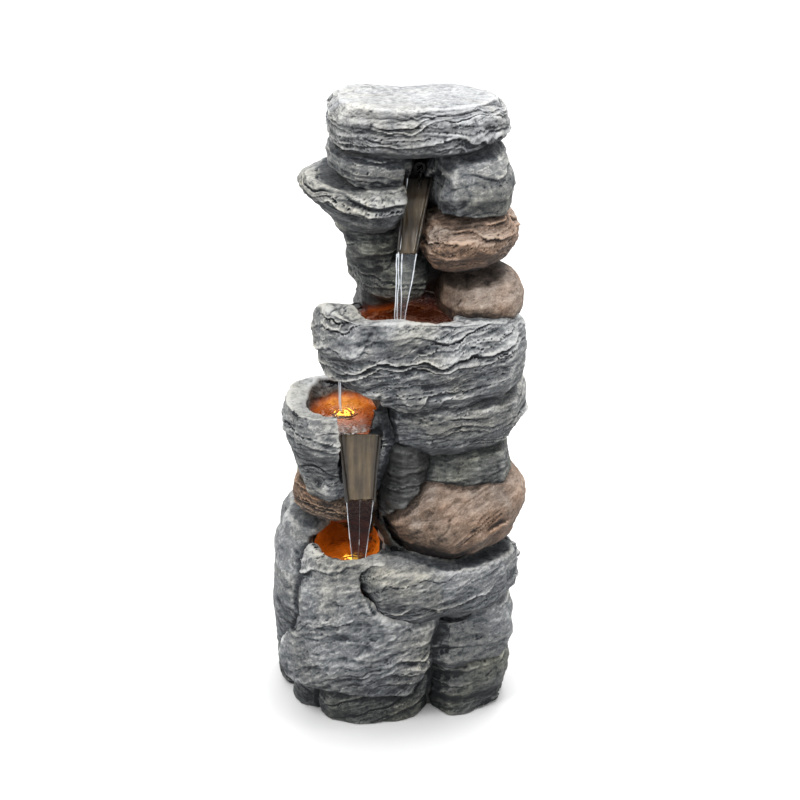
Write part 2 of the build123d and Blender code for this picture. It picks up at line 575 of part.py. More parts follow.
def pump_strainer_cover():
    """The slotted box over the pump's inlet, which pulls off along +X."""
    inner, outer = strainer_ends()
    half_y, half_z = PUMP_SIZE[1] / 2, PUMP_SIZE[2] / 2
    wall = STRAINER_WALL
    shape = box((inner, PUMP_Y - half_y, PUMP_Z - half_z), (outer, PUMP_Y + half_y, PUMP_Z + half_z))
    shape = shape - box(
        (inner - 1.0, PUMP_Y - half_y + wall, PUMP_Z - half_z + wall),
        (outer - wall, PUMP_Y + half_y - wall, PUMP_Z + half_z - wall),
    )
    barb = BARB_RADIUS + 2.2
    shape = shape - box((inner - 1.0, PUMP_Y - barb, PUMP_Z), (BARB_X + barb, PUMP_Y + barb, PUMP_Z + 40.0))
    for i in range(5):
        z = PUMP_Z - 18.0 + 9.0 * i
        for side in (-1, 1):
            y = PUMP_Y + side * half_y
            shape = shape - box((inner + 20.0, y - 4.0, z - 1.5), (outer - 6.0, y + 4.0, z + 1.5))
    return shape - rod((outer - 5.0, PUMP_Y, PUMP_Z), (1, 0, 0), DIAL_PIN + RUNNING, 10.0)


def pump_flow_dial():
    """The flow dial on the strainer cover's end, turning on its own pin."""
    _, outer = strainer_ends()
    axis = (1, 0, 0)
    shape = rod((outer + 0.2, PUMP_Y, PUMP_Z), axis, DIAL_RADIUS, DIAL_THICKNESS)
    shape = shape + rod((outer - STRAINER_WALL - 1.4, PUMP_Y, PUMP_Z), axis, DIAL_PIN, STRAINER_WALL + 2.0)
    grip = box(
        (outer + DIAL_THICKNESS, PUMP_Y - 1.5, PUMP_Z - DIAL_RADIUS + 1.0),
        (outer + DIAL_THICKNESS + 5.0, PUMP_Y + 1.5, PUMP_Z + DIAL_RADIUS - 1.0),
    )
    return shape + grip


def pump_suction_feet():
    """Four rubber suction cups under the motor block."""
    rim = [(FOOT_RADIUS, 0), (FOOT_RADIUS, FOOT_RIM)]
    stem = [(FOOT_STEM, 4.5), (FOOT_STEM, FOOT_HEIGHT)]
    face = Plane.XZ * make_face(Polyline((0, 0), *rim, *stem, (0, FOOT_HEIGHT), close=True))
    cup = revolve(face, Axis.Z)
    places = [(i * FOOT_PITCH[0], j * FOOT_PITCH[1]) for i in (-1, 1) for j in (-1, 1)]
    return Compound(children=[Pos(PUMP_X + x, PUMP_Y + y, TUB_WALL) * cup for x, y in places])


def spout_nozzle():
    """The flared mouth pushed over the top of the riser tube."""
    start = (BARB_X, TUBE_MOUTH_Y + 14.0, TUBE_TOP)
    shape = rod(start, (0, -1, 0), TUBE_OUTER + 1.8, 20.0)
    shape = shape - rod(start, (0, -1, 0), TUBE_OUTER + FIT, 14.0)
    return shape - rod(start, (0, -1, 0), TUBE_INNER, 21.0)


def hose_clamp():
    """The steel band that holds the tube on the pump's barb."""
    start = (BARB_X, PUMP_Y, 80.0)
    band = rod(start, (0, 0, 1), TUBE_OUTER + 1.0, 8.0) - rod(start, (0, 0, 1), TUBE_OUTER + FIT, 8.0)
    return band


# ---------------------------------------------------------------- lamps
def lamp(place):
    """A sealed round lamp body with a seat for its lens and a socket for its lead."""
    shape = rod(place, (0, 0, 1), LAMP_RADIUS, LAMP_HEIGHT)
    seat = (place[0], place[1], place[2] + LAMP_HEIGHT - 2.0)
    shape = shape - rod(seat, (0, 0, 1), LENS_RADIUS + FIT, 4.0)
    socket = (place[0], place[1] + LAMP_RADIUS - SOCKET_DEPTH, place[2] + LEAD_RISE)
    return shape - rod(socket, (0, 1, 0), LEAD_RADIUS + FIT, 3 * SOCKET_DEPTH)


def lens(place):
    """The lamp's domed amber lens."""
    rim = [(LENS_RADIUS, 0), (LENS_RADIUS, 2.4)]
    dome = [(LENS_RADIUS * 0.7, LENS_HEIGHT - 1.2), (0, LENS_HEIGHT)]
    face = Plane.XZ * make_face(Polyline((0, 0), *rim, *dome, close=True))
    return Pos(place[0], place[1], place[2] + LAMP_HEIGHT - 2.0) * revolve(face, Axis.Z)


def lamp_supply_box():
    """The sealed box in the service space where the lamp leads and the pump lead join the mains."""
    shape = box(BOX_LOW, BOX_HIGH)
    return fillet(shape.edges().filter_by(Axis.Y), 3.0)


def fittings():
    """Every piece that isn't a stone."""
    return {
        "tub": tub(),
        "base_pool_pan": base_pool_pan(),
        "drain_pipe": drain_pipe(),
        "drain_strainer": drain_strainer(),
        "drain_plug": drain_plug(),
        "core_duct": core_duct(),
        "rear_panel": rear_panel(),
        "hatch_gasket": hatch_gasket(),
        "hatch_door": hatch_door(),
        "hatch_screws": hatch_screws(),
        "cable_gland": cable_gland(),
        "upper_chute": chute_shape(UPPER_CHUTE),
        "middle_chute": chute_shape(MIDDLE_CHUTE),
        "pump_housing": pump_housing(),
        "pump_impeller": pump_impeller(),
        "pump_volute_cover": pump_volute_cover(),
        "pump_strainer_cover": pump_strainer_cover(),
        "pump_flow_dial": pump_flow_dial(),
        "pump_suction_feet": pump_suction_feet(),
        "pump_lead": routed(PUMP_LEAD, LEAD_RADIUS, 0.0),
        "hose_clamp": hose_clamp(),
        "riser_tube": routed(RISER, TUBE_OUTER, TUBE_BEND, TUBE_INNER),
        "spout_nozzle": spout_nozzle(),
        "upper_lamp": lamp(UPPER_LAMP),
        "upper_lamp_lens": lens(UPPER_LAMP),
        "upper_lamp_lead": routed(UPPER_LEAD, LEAD_RADIUS, LEAD_BEND),
        "middle_lamp": lamp(MIDDLE_LAMP),
        "middle_lamp_lens": lens(MIDDLE_LAMP),
        "middle_lamp_lead": routed(MIDDLE_LEAD, LEAD_RADIUS, LEAD_BEND),
        "base_lamp": lamp(BASE_LAMP),
        "base_lamp_lens": lens(BASE_LAMP),
        "base_lamp_lead": routed(BASE_LEAD, LEAD_RADIUS, LEAD_BEND),
        "lamp_supply_box": lamp_supply_box(),
    }


os.makedirs("parts", exist_ok=True)
PIECES = {**moulded_stones(), **fittings()}
for name, shape in PIECES.items():
    export_step(shape, f"parts/{name}.step")
    print(f"{name}: {len(shape.solids())} solid(s), {shape.volume / 1000:.1f} cc")
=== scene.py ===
"""The looks of the tiered rock fountain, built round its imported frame: weathered slate and river stones,
lit pools, wet chutes and falling water."""

import json
import math
from dataclasses import dataclass

import bmesh
import bpy
import numpy as np
from mathutils import Matrix, Vector


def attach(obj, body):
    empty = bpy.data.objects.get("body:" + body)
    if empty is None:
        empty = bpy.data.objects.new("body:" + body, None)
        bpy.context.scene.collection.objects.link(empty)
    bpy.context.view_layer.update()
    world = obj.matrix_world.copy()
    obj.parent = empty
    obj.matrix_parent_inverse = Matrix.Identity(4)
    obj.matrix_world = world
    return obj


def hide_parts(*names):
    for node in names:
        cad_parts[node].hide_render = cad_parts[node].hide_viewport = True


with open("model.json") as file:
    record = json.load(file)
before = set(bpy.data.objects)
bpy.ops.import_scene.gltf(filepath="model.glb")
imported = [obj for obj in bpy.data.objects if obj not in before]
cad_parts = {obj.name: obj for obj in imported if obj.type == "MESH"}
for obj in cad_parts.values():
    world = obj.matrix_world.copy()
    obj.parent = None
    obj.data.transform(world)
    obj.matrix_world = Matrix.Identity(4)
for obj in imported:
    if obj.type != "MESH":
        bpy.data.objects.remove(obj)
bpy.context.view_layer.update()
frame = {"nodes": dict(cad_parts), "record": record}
NODES = frame["nodes"]
FULL_VOXEL = 0.0026  # size of the stones' faces
VOXEL = FULL_VOXEL

SENSOR_WIDTH = 36.0
LENS_PER_WIDTH = 1793.77 / 800.0  # focal length over the picture's width
CAMERA_PLACE = (0.0, -3.0, 1.75)
CAMERA_DOWN = 21.51  # degrees below the horizon
SKY = 0.92
FLOOR_DROP = 0.0012


# ---------------------------------------------------------------- camera, floor and light
def camera():
    data = bpy.data.cameras.new("camera")
    data.sensor_width = SENSOR_WIDTH
    data.lens = LENS_PER_WIDTH * SENSOR_WIDTH
    obj = bpy.data.objects.new("camera", data)
    obj.location = CAMERA_PLACE
    obj.rotation_euler = (math.radians(90.0 - CAMERA_DOWN), 0.0, 0.0)
    bpy.context.scene.collection.objects.link(obj)
    bpy.context.scene.camera = obj


def area_light(name, place, target, size, power, colour=(1.0, 1.0, 1.0)):
    data = bpy.data.lights.new(name, "AREA")
    data.shape = "RECTANGLE"
    data.size, data.size_y = size
    data.energy = power
    data.color = colour
    obj = bpy.data.objects.new(name, data)
    obj.location = place
    obj.rotation_euler = (Vector(target) - Vector(place)).to_track_quat("-Z", "Y").to_euler()
    bpy.context.scene.collection.objects.link(obj)


def studio():
    world = bpy.data.worlds.new("studio")
    world.use_nodes = True
    world.node_tree.nodes["Background"].inputs["Color"].default_value = (1.0, 1.0, 1.0, 1.0)
    world.node_tree.nodes["Background"].inputs["Strength"].default_value = SKY
    bpy.context.scene.world = world
    area_light("key", (-1.3, -1.6, 3.2), (0.0, 0.0, 0.6), (1.0, 1.0), 40.0)
    area_light("top", (0.5, 0.3, 3.2), (0.0, 0.0, 0.8), (1.4, 1.4), 34.0)
    area_light("backdrop", (0.0, 7.0, 6.0), (0.0, 6.0, 0.0), (9.0, 9.0), 420.0)
    bpy.ops.mesh.primitive_plane_add(size=30.0, location=(0.0, 0.0, -FLOOR_DROP))
    floor = bpy.context.object
    floor.name = "floor"
    material = bpy.data.materials.new("floor")
    material.use_nodes = True
    shader = material.node_tree.nodes["Principled BSDF"]
    shader.inputs["Base Color"].default_value = (0.96, 0.96, 0.96, 1.0)
    shader.inputs["Roughness"].default_value = 0.9
    shader.inputs["Specular IOR Level"].default_value = 0.0
    floor.data.materials.append(material)
    bpy.context.scene.view_settings.view_transform = "Standard"


# ---------------------------------------------------------------- noise
def hashed(cell, seed):
    """A number in -1..1 for each integer cell."""
    h = cell[:, 0] * 73856093 ^ cell[:, 1] * 19349663 ^ cell[:, 2] * 83492791 ^ (seed * 2654435761)
    h &= 0xFFFFFFFF
    h = ((h >> 15) ^ h) * 2246822519 & 0xFFFFFFFF
    h = ((h >> 13) ^ h) * 3266489917 & 0xFFFFFFFF
    h = (h >> 16) ^ h
    return h.astype(np.float64) / 2147483647.5 - 1.0


def value_noise(points, seed):
    """Smooth noise in -1..1 with features about one unit across."""
    base = np.floor(points).astype(np.int64)
    f = points - base
    u = f * f * f * (f * (f * 6.0 - 15.0) + 10.0)
    total = np.zeros(len(points))
    for dx in (0, 1):
        wx = u[:, 0] if dx else 1.0 - u[:, 0]
        for dy in (0, 1):
            wy = u[:, 1] if dy else 1.0 - u[:, 1]
            for dz in (0, 1):
                wz = u[:, 2] if dz else 1.0 - u[:, 2]
                total += wx * wy * wz * hashed(base + np.array((dx, dy, dz)), seed)
    return total


TWIST = np.array(Matrix.Rotation(0.9, 3, Vector((0.3, 0.8, 0.5))))


def fractal(points, size, seed, octaves=3, gain=0.5):
    """Several octaves of noise, the widest with features of the given size in metres."""
    total, weight, reach = np.zeros(len(points)), 1.0, 0.0
    p = points / size
    for k in range(octaves):
        total += weight * value_noise(p + 17.1 * k, seed + 31 * k)
        reach += weight
        weight *= gain
        p = (p @ TWIST.T) * 2.03
    return total / reach * 1.6


def ridged(points, size, seed, octaves=3):
    """Noise with sharp creases, 0 on a crease and about 1 away from it."""
    total, weight, reach = np.zeros(len(points)), 1.0, 0.0
    p = points / size
    for k in range(octaves):
        total += weight * np.abs(value_noise(p + 9.7 * k, seed + 13 * k))
        reach += weight
        weight *= 0.55
        p = (p @ TWIST.T) * 2.1
    return total / reach * 2.0


# ---------------------------------------------------------------- meshes
def read_mesh(mesh):
    points = np.empty(len(mesh.vertices) * 3)
    mesh.vertices.foreach_get("co", points)
    return points.reshape(-1, 3)


def read_normals(mesh):
    normals = np.empty(len(mesh.vertices) * 3)
    mesh.vertex_normals.foreach_get("vector", normals)
    return normals.reshape(-1, 3)


def write_mesh(mesh, points):
    mesh.vertices.foreach_set("co", points.ravel())
    mesh.update()


def outer_shell(node, hull):
    """The CAD node's outside as a bmesh: its cavity is dropped, and with hull its hollows are filled."""
    bm = bmesh.new()
    bm.from_mesh(NODES[node].data)
    bmesh.ops.remove_doubles(bm, verts=bm.verts, dist=1e-6)
    groups, seen = [], set()
    for start in bm.verts:
        if start in seen:
            continue
        seen.add(start)
        stack, group = [start], []
        while stack:
            v = stack.pop()
            group.append(v)
            for e in v.link_edges:
                w = e.other_vert(v)
                if w not in seen:
                    seen.add(w)
                    stack.append(w)
        groups.append(group)

    def extent(group):
        co = np.array([v.co for v in group])
        return float(np.prod(co.max(0) - co.min(0)))

    groups.sort(key=extent)
    bmesh.ops.delete(bm, geom=[v for g in groups[:-1] for v in g], context="VERTS")
    if hull:
        result = bmesh.ops.convex_hull(bm, input=bm.verts)
        unused = result["geom_interior"] + result["geom_unused"]
        spare = {g for g in unused if isinstance(g, bmesh.types.BMVert)}
        bmesh.ops.delete(bm, geom=list(spare), context="VERTS")
        kept = {g for g in result["geom"] if isinstance(g, bmesh.types.BMFace)}
        bmesh.ops.delete(bm, geom=[f for f in bm.faces if f not in kept], context="FACES")
    bmesh.ops.triangulate(bm, faces=bm.faces)
    return bm


def evaluated(obj):
    """The object's mesh with its modifiers applied, as a new mesh."""
    graph = bpy.context.evaluated_depsgraph_get()
    mesh = bpy.data.meshes.new_from_object(obj.evaluated_get(graph))
    return mesh


def remeshed(bm, name, voxel, rounding):
    """A new object: the shape in even small faces, with its edges rounded."""
    mesh = bpy.data.meshes.new(name)
    bm.to_mesh(mesh)
    bm.free()
    obj = bpy.data.objects.new(name, mesh)
    bpy.context.scene.collection.objects.link(obj)
    remesh = obj.modifiers.new("remesh", "REMESH")
    remesh.mode = "VOXEL"
    remesh.voxel_size = voxel
    smooth = obj.modifiers.new("smooth", "SMOOTH")
    smooth.factor = 0.5
    smooth.iterations = max(1, int(rounding * (FULL_VOXEL / voxel) ** 2))
    obj.data = evaluated(obj)
    obj.modifiers.clear()
    obj.data.name = name
    return obj


def smoothed_points(obj, iterations):
    smooth = obj.modifiers.new("smooth", "SMOOTH")
    smooth.factor = 0.5
    smooth.iterations = iterations
    mesh = evaluated(obj)
    points = read_mesh(mesh)
    obj.modifiers.clear()
    bpy.data.meshes.remove(mesh)
    return points


def store(mesh, name, values):
    attribute = mesh.attributes.new(name, "FLOAT", "POINT")
    attribute.data.foreach_set("value", np.asarray(values, np.float32))


def store_vector(mesh, name, values):
    attribute = mesh.attributes.new(name, "FLOAT_VECTOR", "POINT")
    attribute.data.foreach_set("vector", np.asarray(values, np.float32).ravel())


# ---------------------------------------------------------------- the pools' hollows
@dataclass
class Pool:
    """A pool: its bowl, its water level, its lamp, where water falls into it, and where it leaves."""

    middle: tuple
    half: tuple
    turn: float
    square: float
    phase: float
    share: float  # of the bowl's outline that the water fills
    low: float
    level: float
    lamp: tuple
    lands: tuple
    lip: tuple = None


POOLS = {
    "upper": Pool(
        middle=(0.010, -0.066), half=(0.088, 0.094), turn=8.0, square=2.5, phase=2.7, share=0.952, low=0.700,
        level=0.745, lamp=(-0.012, -0.092, 0.716), lands=((-0.004, -0.112), (0.004, -0.110)),
    ),
    "middle": Pool(
        middle=(-0.096, -0.054), half=(0.066, 0.094), turn=0.0, square=2.4, phase=0.7, share=0.930, low=0.518,
        level=0.560, lamp=(-0.098, -0.004, 0.534), lands=((-0.104, -0.040),), lip=(-0.073, -0.136),
    ),
    "base": Pool(
        middle=(-0.096, -0.058), half=(0.058, 0.102), turn=0.0, square=2.4, phase=1.7, share=0.962, low=0.254,
        level=0.308, lamp=(-0.086, -0.075, 0.270), lands=((-0.082, -0.150), (-0.066, -0.150)),
    ),
}
LAMP_OVER = np.array((0.0, 0.0, 0.02))  # the light's middle, over the lamp's foot
BOWL_MARGIN = 0.007


def rim(pool, angle, margin=0.0):
    """The water's edge at these angles."""
    c, s = np.abs(np.cos(angle)), np.abs(np.sin(angle))
    radius = (c**pool.square + s**pool.square) ** (-1.0 / pool.square)
    uneven = 1.0 + 0.045 * np.sin(2 * angle + pool.phase) + 0.035 * np.sin(3 * angle + 1.7 * pool.phase)
    uneven = uneven + 0.02 * np.sin(5 * angle + 2.3 * pool.phase)
    x = (pool.half[0] * pool.share + margin) * radius * uneven * np.cos(angle)
    y = (pool.half[1] * pool.share + margin) * radius * uneven * np.sin(angle)
    c, s = math.cos(math.radians(pool.turn)), math.sin(math.radians(pool.turn))
    return pool.middle[0] + x * c - y * s, pool.middle[1] + x * s + y * c


def lamplight(points, normals):
    """How strongly the lamps light each point: only what faces one in its bowl, or just over its water."""
    total = np.zeros(len(points))
    for pool in POOLS.values():
        turn = -math.radians(pool.turn)
        dx, dy = points[:, 0] - pool.middle[0], points[:, 1] - pool.middle[1]
        x, y = dx * math.cos(turn) - dy * math.sin(turn), dx * math.sin(turn) + dy * math.cos(turn)
        out = np.abs(x / (pool.half[0] + BOWL_MARGIN)) ** pool.square
        out += np.abs(y / (pool.half[1] + BOWL_MARGIN)) ** pool.square
        inside = np.clip((1.25 - out) / 0.12, 0.0, 1.0)
        height = np.clip((pool.level + 0.016 - points[:, 2]) / 0.014, 0.0, 1.0)
        height *= points[:, 2] > pool.low - 0.012
        toward = np.array(pool.lamp) + LAMP_OVER - points
        gap = np.linalg.norm(toward, axis=1)
        facing = np.clip(0.25 + 1.6 * (toward * normals).sum(1) / gap, 0.0, 1.0)
        total += inside * height * facing * (1.25 * np.exp(-gap / 0.034) + 0.6 * np.exp(-gap / 0.014))
    return total


# ---------------------------------------------------------------- stone shapes
BED_STEP = np.array((3.7, 1.3, 2.1))  # from one bed's noise to the next one's


def layers(points, direction, thickness, seed, warp):
    """Layered rock: how far the face stands out, about -1..1, and the dark parting under each bed, 0..1."""
    height = points @ direction
    height = height + warp * fractal(points, 0.10, seed + 5, 2)
    height = height + 0.22 * warp * fractal(points, 0.024, seed + 6, 2)
    t = height / thickness + 40.0
    t = t + 0.36 * np.sin(2.3 * t + seed) + 0.20 * np.sin(3.9 * t + 2.0 * seed)
    bed = np.floor(t)
    f = t - bed
    along = points - np.outer(points @ direction, direction)
    stamp = np.outer(bed, BED_STEP)
    here = value_noise(along / 0.12 + stamp, seed + 7)
    below = value_noise(along / 0.12 + stamp - BED_STEP, seed + 7)
    blend = np.clip(f / 0.10, 0.0, 1.0)
    stand = below * (1.0 - blend) + here * blend
    flare = (1.0 - f) ** 1.6 * blend
    open_joint = np.clip(0.45 + 1.1 * value_noise(along / 0.06 + stamp, seed + 8), 0.0, 1.0)
    parting = np.exp(-((f - 0.04) / 0.09) ** 2) * open_joint
    return 0.55 * stand + 0.75 * flare - 0.35, parting


def squared(points, amount):
    """Draws a slab's top shoulder outwards, so that its top is flat nearly to its edge."""
    low, high = points.min(0), points.max(0)
    share = np.clip((points[:, 2] - low[2]) / (high[2] - low[2]), 0.0, 1.0)
    middle = (low + high) / 2.0
    wide = 1.0 + amount * np.clip((share - 0.55) / 0.45, 0.0, 1.0) ** 1.5
    shaped = points.copy()
    shaped[:, :2] = middle[:2] + (points[:, :2] - middle[:2]) * wide[:, None]
    return np.clip(shaped, low, high)


def tapered(points, reach, amount):
    """Thins a ledge to a point over its outer reach on the left, keeping its top."""
    low, high = points.min(0), points.max(0)
    share = np.clip(1.0 - (points[:, 0] - low[0]) / reach, 0.0, 1.0)
    keep = low[2] + 0.82 * (high[2] - low[2])
    shaped = points.copy()
    shaped[:, 2] = keep + (points[:, 2] - keep) * (1.0 - amount * share)
    return shaped


def narrowed(points, amount):
    """Draws a stone's left side in towards its foot."""
    low, high = points.min(0), points.max(0)
    share = np.clip((high[2] - points[:, 2]) / (high[2] - low[2]), 0.0, 1.0)
    shaped = points.copy()
    shaped[:, 0] = high[0] - (high[0] - points[:, 0]) * (1.0 - amount * share)
    return shaped


def reaching_back(points, amount):
    """Stretches the right end of a stone back, beside the service space."""
    front = -0.02
    share = np.clip((points[:, 0] - 0.085) / 0.02, 0.0, 1.0)
    shaped = points.copy()
    shaped[:, 1] += amount * share * np.maximum(points[:, 1] - front, 0.0)
    return shaped


# the tub and the service space, which the stones stay out of
HOLLOWS = (((-0.138, -0.098, -1.0), (0.128, 0.106, 0.188)), ((-0.028, 0.036, 0.186), (0.094, 0.114, 0.338)))


def kept_out(points):
    """Moves what strays into the tub or the service space out to its nearest side or its top."""
    for low, high in HOLLOWS:
        sides = [(0, low[0], 1), (0, high[0], -1), (1, low[1], 1), (1, high[1], -1), (2, high[2], -1)]
        gaps = np.stack([sign * (points[:, axis] - place) for axis, place, sign in sides], 1)
        inside = (gaps.min(1) > 0.0) & (points[:, 2] > low[2])
        nearest = gaps.argmin(1)
        for k, (axis, place, _) in enumerate(sides):
            points[inside & (nearest == k), axis] = place
    return points


def outlined(points, look):
    """The stone's outline, drawn out, thinned or stretched where its look says so."""
    if look.square:
        points = squared(points, look.square)
    if look.tip:
        points = tapered(points, *look.tip)
    if look.narrow:
        points = narrowed(points, look.narrow)
    if look.back:
        points = reaching_back(points, look.back)
    return points


SPILL_LEVEL, RIM_LOW = 0.7475, 0.70


def trimmed(points, look):
    """Cuts off what passes the flat back or the floor, and opens the upper basin's rim beside its spill."""
    points[:, 1] = np.minimum(points[:, 1], look.flat_back)
    if look.paint == "basin":
        beside = np.maximum(0.0, -0.045 - points[:, 1]) + 1.5 * np.maximum(0.0, points[:, 0] + 0.055)
        spill = SPILL_LEVEL + 0.8 * beside
        points[:, 2] = np.where(points[:, 2] > RIM_LOW, np.minimum(points[:, 2], spill), points[:, 2])
    points[:, 2] = np.maximum(points[:, 2], 0.0)
    return kept_out(points)


def surface(points, normals, look, direction, squeeze):
    """How far beds, cracks and grain move each point, and the fields that the paint needs."""
    seed = look.seed
    side = np.clip(1.15 - np.abs(normals @ direction) ** 2 * 1.3, 0.0, 1.0)
    patch = np.clip(look.beddedness + 2.1 * fractal(points @ squeeze.T * 0.7, 0.11, seed + 40, 2), 0.0, 1.0)
    stand, parting = layers(points, direction, look.bed, seed + 50, look.warp)
    fine, fine_parting = layers(points, direction, look.bed * 0.27, seed + 60, look.warp * 0.8)
    depth = side * look.ledge * (0.22 + 0.88 * patch) * (stand - 0.9 * parting)
    depth += side * look.ledge * 0.28 * patch**2 * (fine - fine_parting)
    stretched = points @ squeeze.T
    bend = np.stack([fractal(points, 0.04, seed + 90 + k, 2) for k in range(3)], 1)
    crease = np.clip(ridged(stretched + 0.010 * bend, look.crack_size, seed + 70, 2), 0.0, 1.0)
    crack_here = np.clip(0.35 + 1.2 * fractal(points, 0.07, seed + 75, 2), 0.0, 1.0)
    crack = (1.0 - crease) ** 5 * crack_here
    depth -= look.cracks * crack
    wrinkle = ridged(0.5 * (points + stretched) + 0.006 * bend, 0.012, seed + 80, 3)
    grain = fractal(stretched, 0.012, seed + 81, 3, 0.6) - 1.3 * (1.0 - np.clip(wrinkle, 0, 1)) ** 2
    depth += look.grain * grain
    bedded = (0.25 + 0.75 * patch) * parting + 0.7 * fine_parting * patch**2
    dark = np.clip(side * bedded + 0.7 * crack, 0.0, 1.0)
    return depth, dark, stretched + 0.012 * bend


def carve_stone(obj, look):
    """Gives a plain body its lumps, beds, cracks and grain, and stores what the paint needs."""
    mesh = obj.data
    lean = [math.sin(math.radians(angle)) for angle in look.beds]
    direction = np.array(Vector((*lean, 1.0)).normalized())
    squeeze = np.eye(3) + (look.stretch - 1.0) * np.outer(direction, direction)
    points, normals = read_mesh(mesh), read_normals(mesh)
    points = outlined(points + normals * look.swell, look)
    write_mesh(mesh, points)
    normals = read_normals(mesh)
    lump = 1.1 * fractal(points, look.lump_size, look.seed, 2, 0.4)
    lump = lump + 0.18 * fractal(points @ squeeze.T, 0.03, look.seed + 3, 2)
    points = points + normals * (look.lumps * lump)[:, None]
    write_mesh(mesh, points)
    normals = read_normals(mesh)
    depth, dark, bedspace = surface(points, normals, look, direction, squeeze)
    points = trimmed(points + normals * depth[:, None], look)
    write_mesh(mesh, points)
    normals = read_normals(mesh)
    scale = (FULL_VOXEL / VOXEL) ** 2
    near = smoothed_points(obj, max(2, round(5 * scale)))
    wide = smoothed_points(obj, max(4, round(40 * scale)))
    ridge = ((points - near) * normals).sum(1) / 0.0007
    body = ((points - wide) * normals).sum(1) / 0.0028
    store(mesh, "ridge", np.clip(ridge, -1.6, 1.6))
    store(mesh, "relief", np.clip(body, -1.6, 1.6))
    store(mesh, "parting", dark)
    store_vector(mesh, "bedspace", bedspace)
    store(mesh, "glow", lamplight(points, normals))
    mesh.shade_smooth()


CELL = 0.005  # of the grid that tells how close stones are


def paint_shade_between_stones(rocks):
    """Stores how shut in each point of the stones is by the stones around it, for the painted shade (ambient
    occlusion) where stones close in.
    """
    clouds = [read_mesh(obj.data) for obj in rocks]
    low = np.min([c.min(0) for c in clouds], axis=0) - 0.06
    shape = np.ceil((np.max([c.max(0) for c in clouds], axis=0) + 0.06 - low) / CELL).astype(int) + 1
    filled = np.zeros(shape, np.float32)
    for cloud in clouds:
        filled[tuple(((cloud - low) / CELL).astype(int).T)] = 1.0
    for axis in range(3):
        filled = sum(np.roll(filled, k, axis) for k in (-2, -1, 0, 1, 2)) / 5.0
    for obj, cloud in zip(rocks, clouds):
        normals = read_normals(obj.data)
        shut = np.zeros(len(cloud))
        for reach, share in ((0.018, 0.6), (0.030, 0.4)):
            probe = cloud + normals * reach
            cell = np.clip(((probe - low) / CELL).round().astype(int), 0, shape - 1)
            shut += share * filled[tuple(cell.T)]
        store(obj.data, "shut", np.clip(shut * 7.0, 0.0, 1.0))


# ---------------------------------------------------------------- materials
class Paint:
    """A small helper for building node materials."""

    def __init__(self, name):
        self.material = bpy.data.materials.new(name)
        self.material.use_nodes = True
        self.tree = self.material.node_tree
        self.shader = self.tree.nodes["Principled BSDF"]
        self.coords = self.tree.nodes.new("ShaderNodeTexCoord").outputs["Object"]

    def link(self, a, b):
        self.tree.links.new(a, b)

    def set(self, **values):
        for key, value in values.items():
            self.shader.inputs[key.replace("_", " ")].default_value = value

    def noise(self, scale, detail=4.0, rough=0.55, stretch=None, distortion=0.0, along=None):
        node = self.tree.nodes.new("ShaderNodeTexNoise")
        node.inputs["Scale"].default_value = scale
        node.inputs["Detail"].default_value = detail
        node.inputs["Roughness"].default_value = rough
        node.inputs["Distortion"].default_value = distortion
        if along:
            field = self.tree.nodes.new("ShaderNodeAttribute")
            field.attribute_name = along
            self.link(field.outputs["Vector"], node.inputs["Vector"])
        elif stretch:
            mapping = self.tree.nodes.new("ShaderNodeMapping")
            mapping.inputs["Scale"].default_value = stretch
            self.link(self.coords, mapping.inputs["Vector"])
            self.link(mapping.outputs["Vector"], node.inputs["Vector"])
        else:
            self.link(self.coords, node.inputs["Vector"])
        return node.outputs["Fac"]

    def attribute(self, name):
        node = self.tree.nodes.new("ShaderNodeAttribute")
        node.attribute_name = name
        return node.outputs["Fac"]

    def up(self):
        geometry = self.tree.nodes.new("ShaderNodeNewGeometry")
        split = self.tree.nodes.new("ShaderNodeSeparateXYZ")
        self.link(geometry.outputs["Normal"], split.inputs[0])
        return split.outputs["Z"]

    def math(self, op, a, b=None, c=None, clamp=False):
        node = self.tree.nodes.new("ShaderNodeMath")
        node.operation = op
        node.use_clamp = clamp
        for i, v in enumerate((a, b, c)):
            if v is None:
                continue
            if isinstance(v, (int, float)):
                node.inputs[i].default_value = v
            else:
                self.link(v, node.inputs[i])
        return node.outputs[0]

    def weighted(self, *terms):
        """A sum of (socket, factor) terms and plain numbers."""
        total = None
        for term in terms:
            value = self.math("MULTIPLY", *term) if isinstance(term, tuple) else term
            total = value if total is None else self.math("ADD", total, value)
        return total

    def ramp(self, fac, stops):
        node = self.tree.nodes.new("ShaderNodeValToRGB")
        while len(node.color_ramp.elements) < len(stops):
            node.color_ramp.elements.new(0.5)
        for element, (place, colour) in zip(node.color_ramp.elements, stops):
            element.position = place
            colour = colour if hasattr(colour, "__len__") else (colour,) * 3
            element.color = (*colour, 1.0)
        self.link(fac, node.inputs["Fac"])
        return node.outputs["Color"]

    def mix(self, fac, a, b, blend="MIX"):
        node = self.tree.nodes.new("ShaderNodeMix")
        node.data_type = "RGBA"
        node.blend_type = blend
        for socket, v in ((node.inputs[0], fac), (node.inputs[6], a), (node.inputs[7], b)):
            if isinstance(v, (int, float)):
                socket.default_value = v
            elif isinstance(v, tuple):
                socket.default_value = (*v, 1.0)
            else:
                self.link(v, socket)
        return node.outputs[2]

    def bump(self, height, strength, distance):
        node = self.tree.nodes.new("ShaderNodeBump")
        node.inputs["Strength"].default_value = strength
        node.inputs["Distance"].default_value = distance
        self.link(height, node.inputs["Height"])
        self.link(node.outputs["Normal"], self.shader.inputs["Normal"])


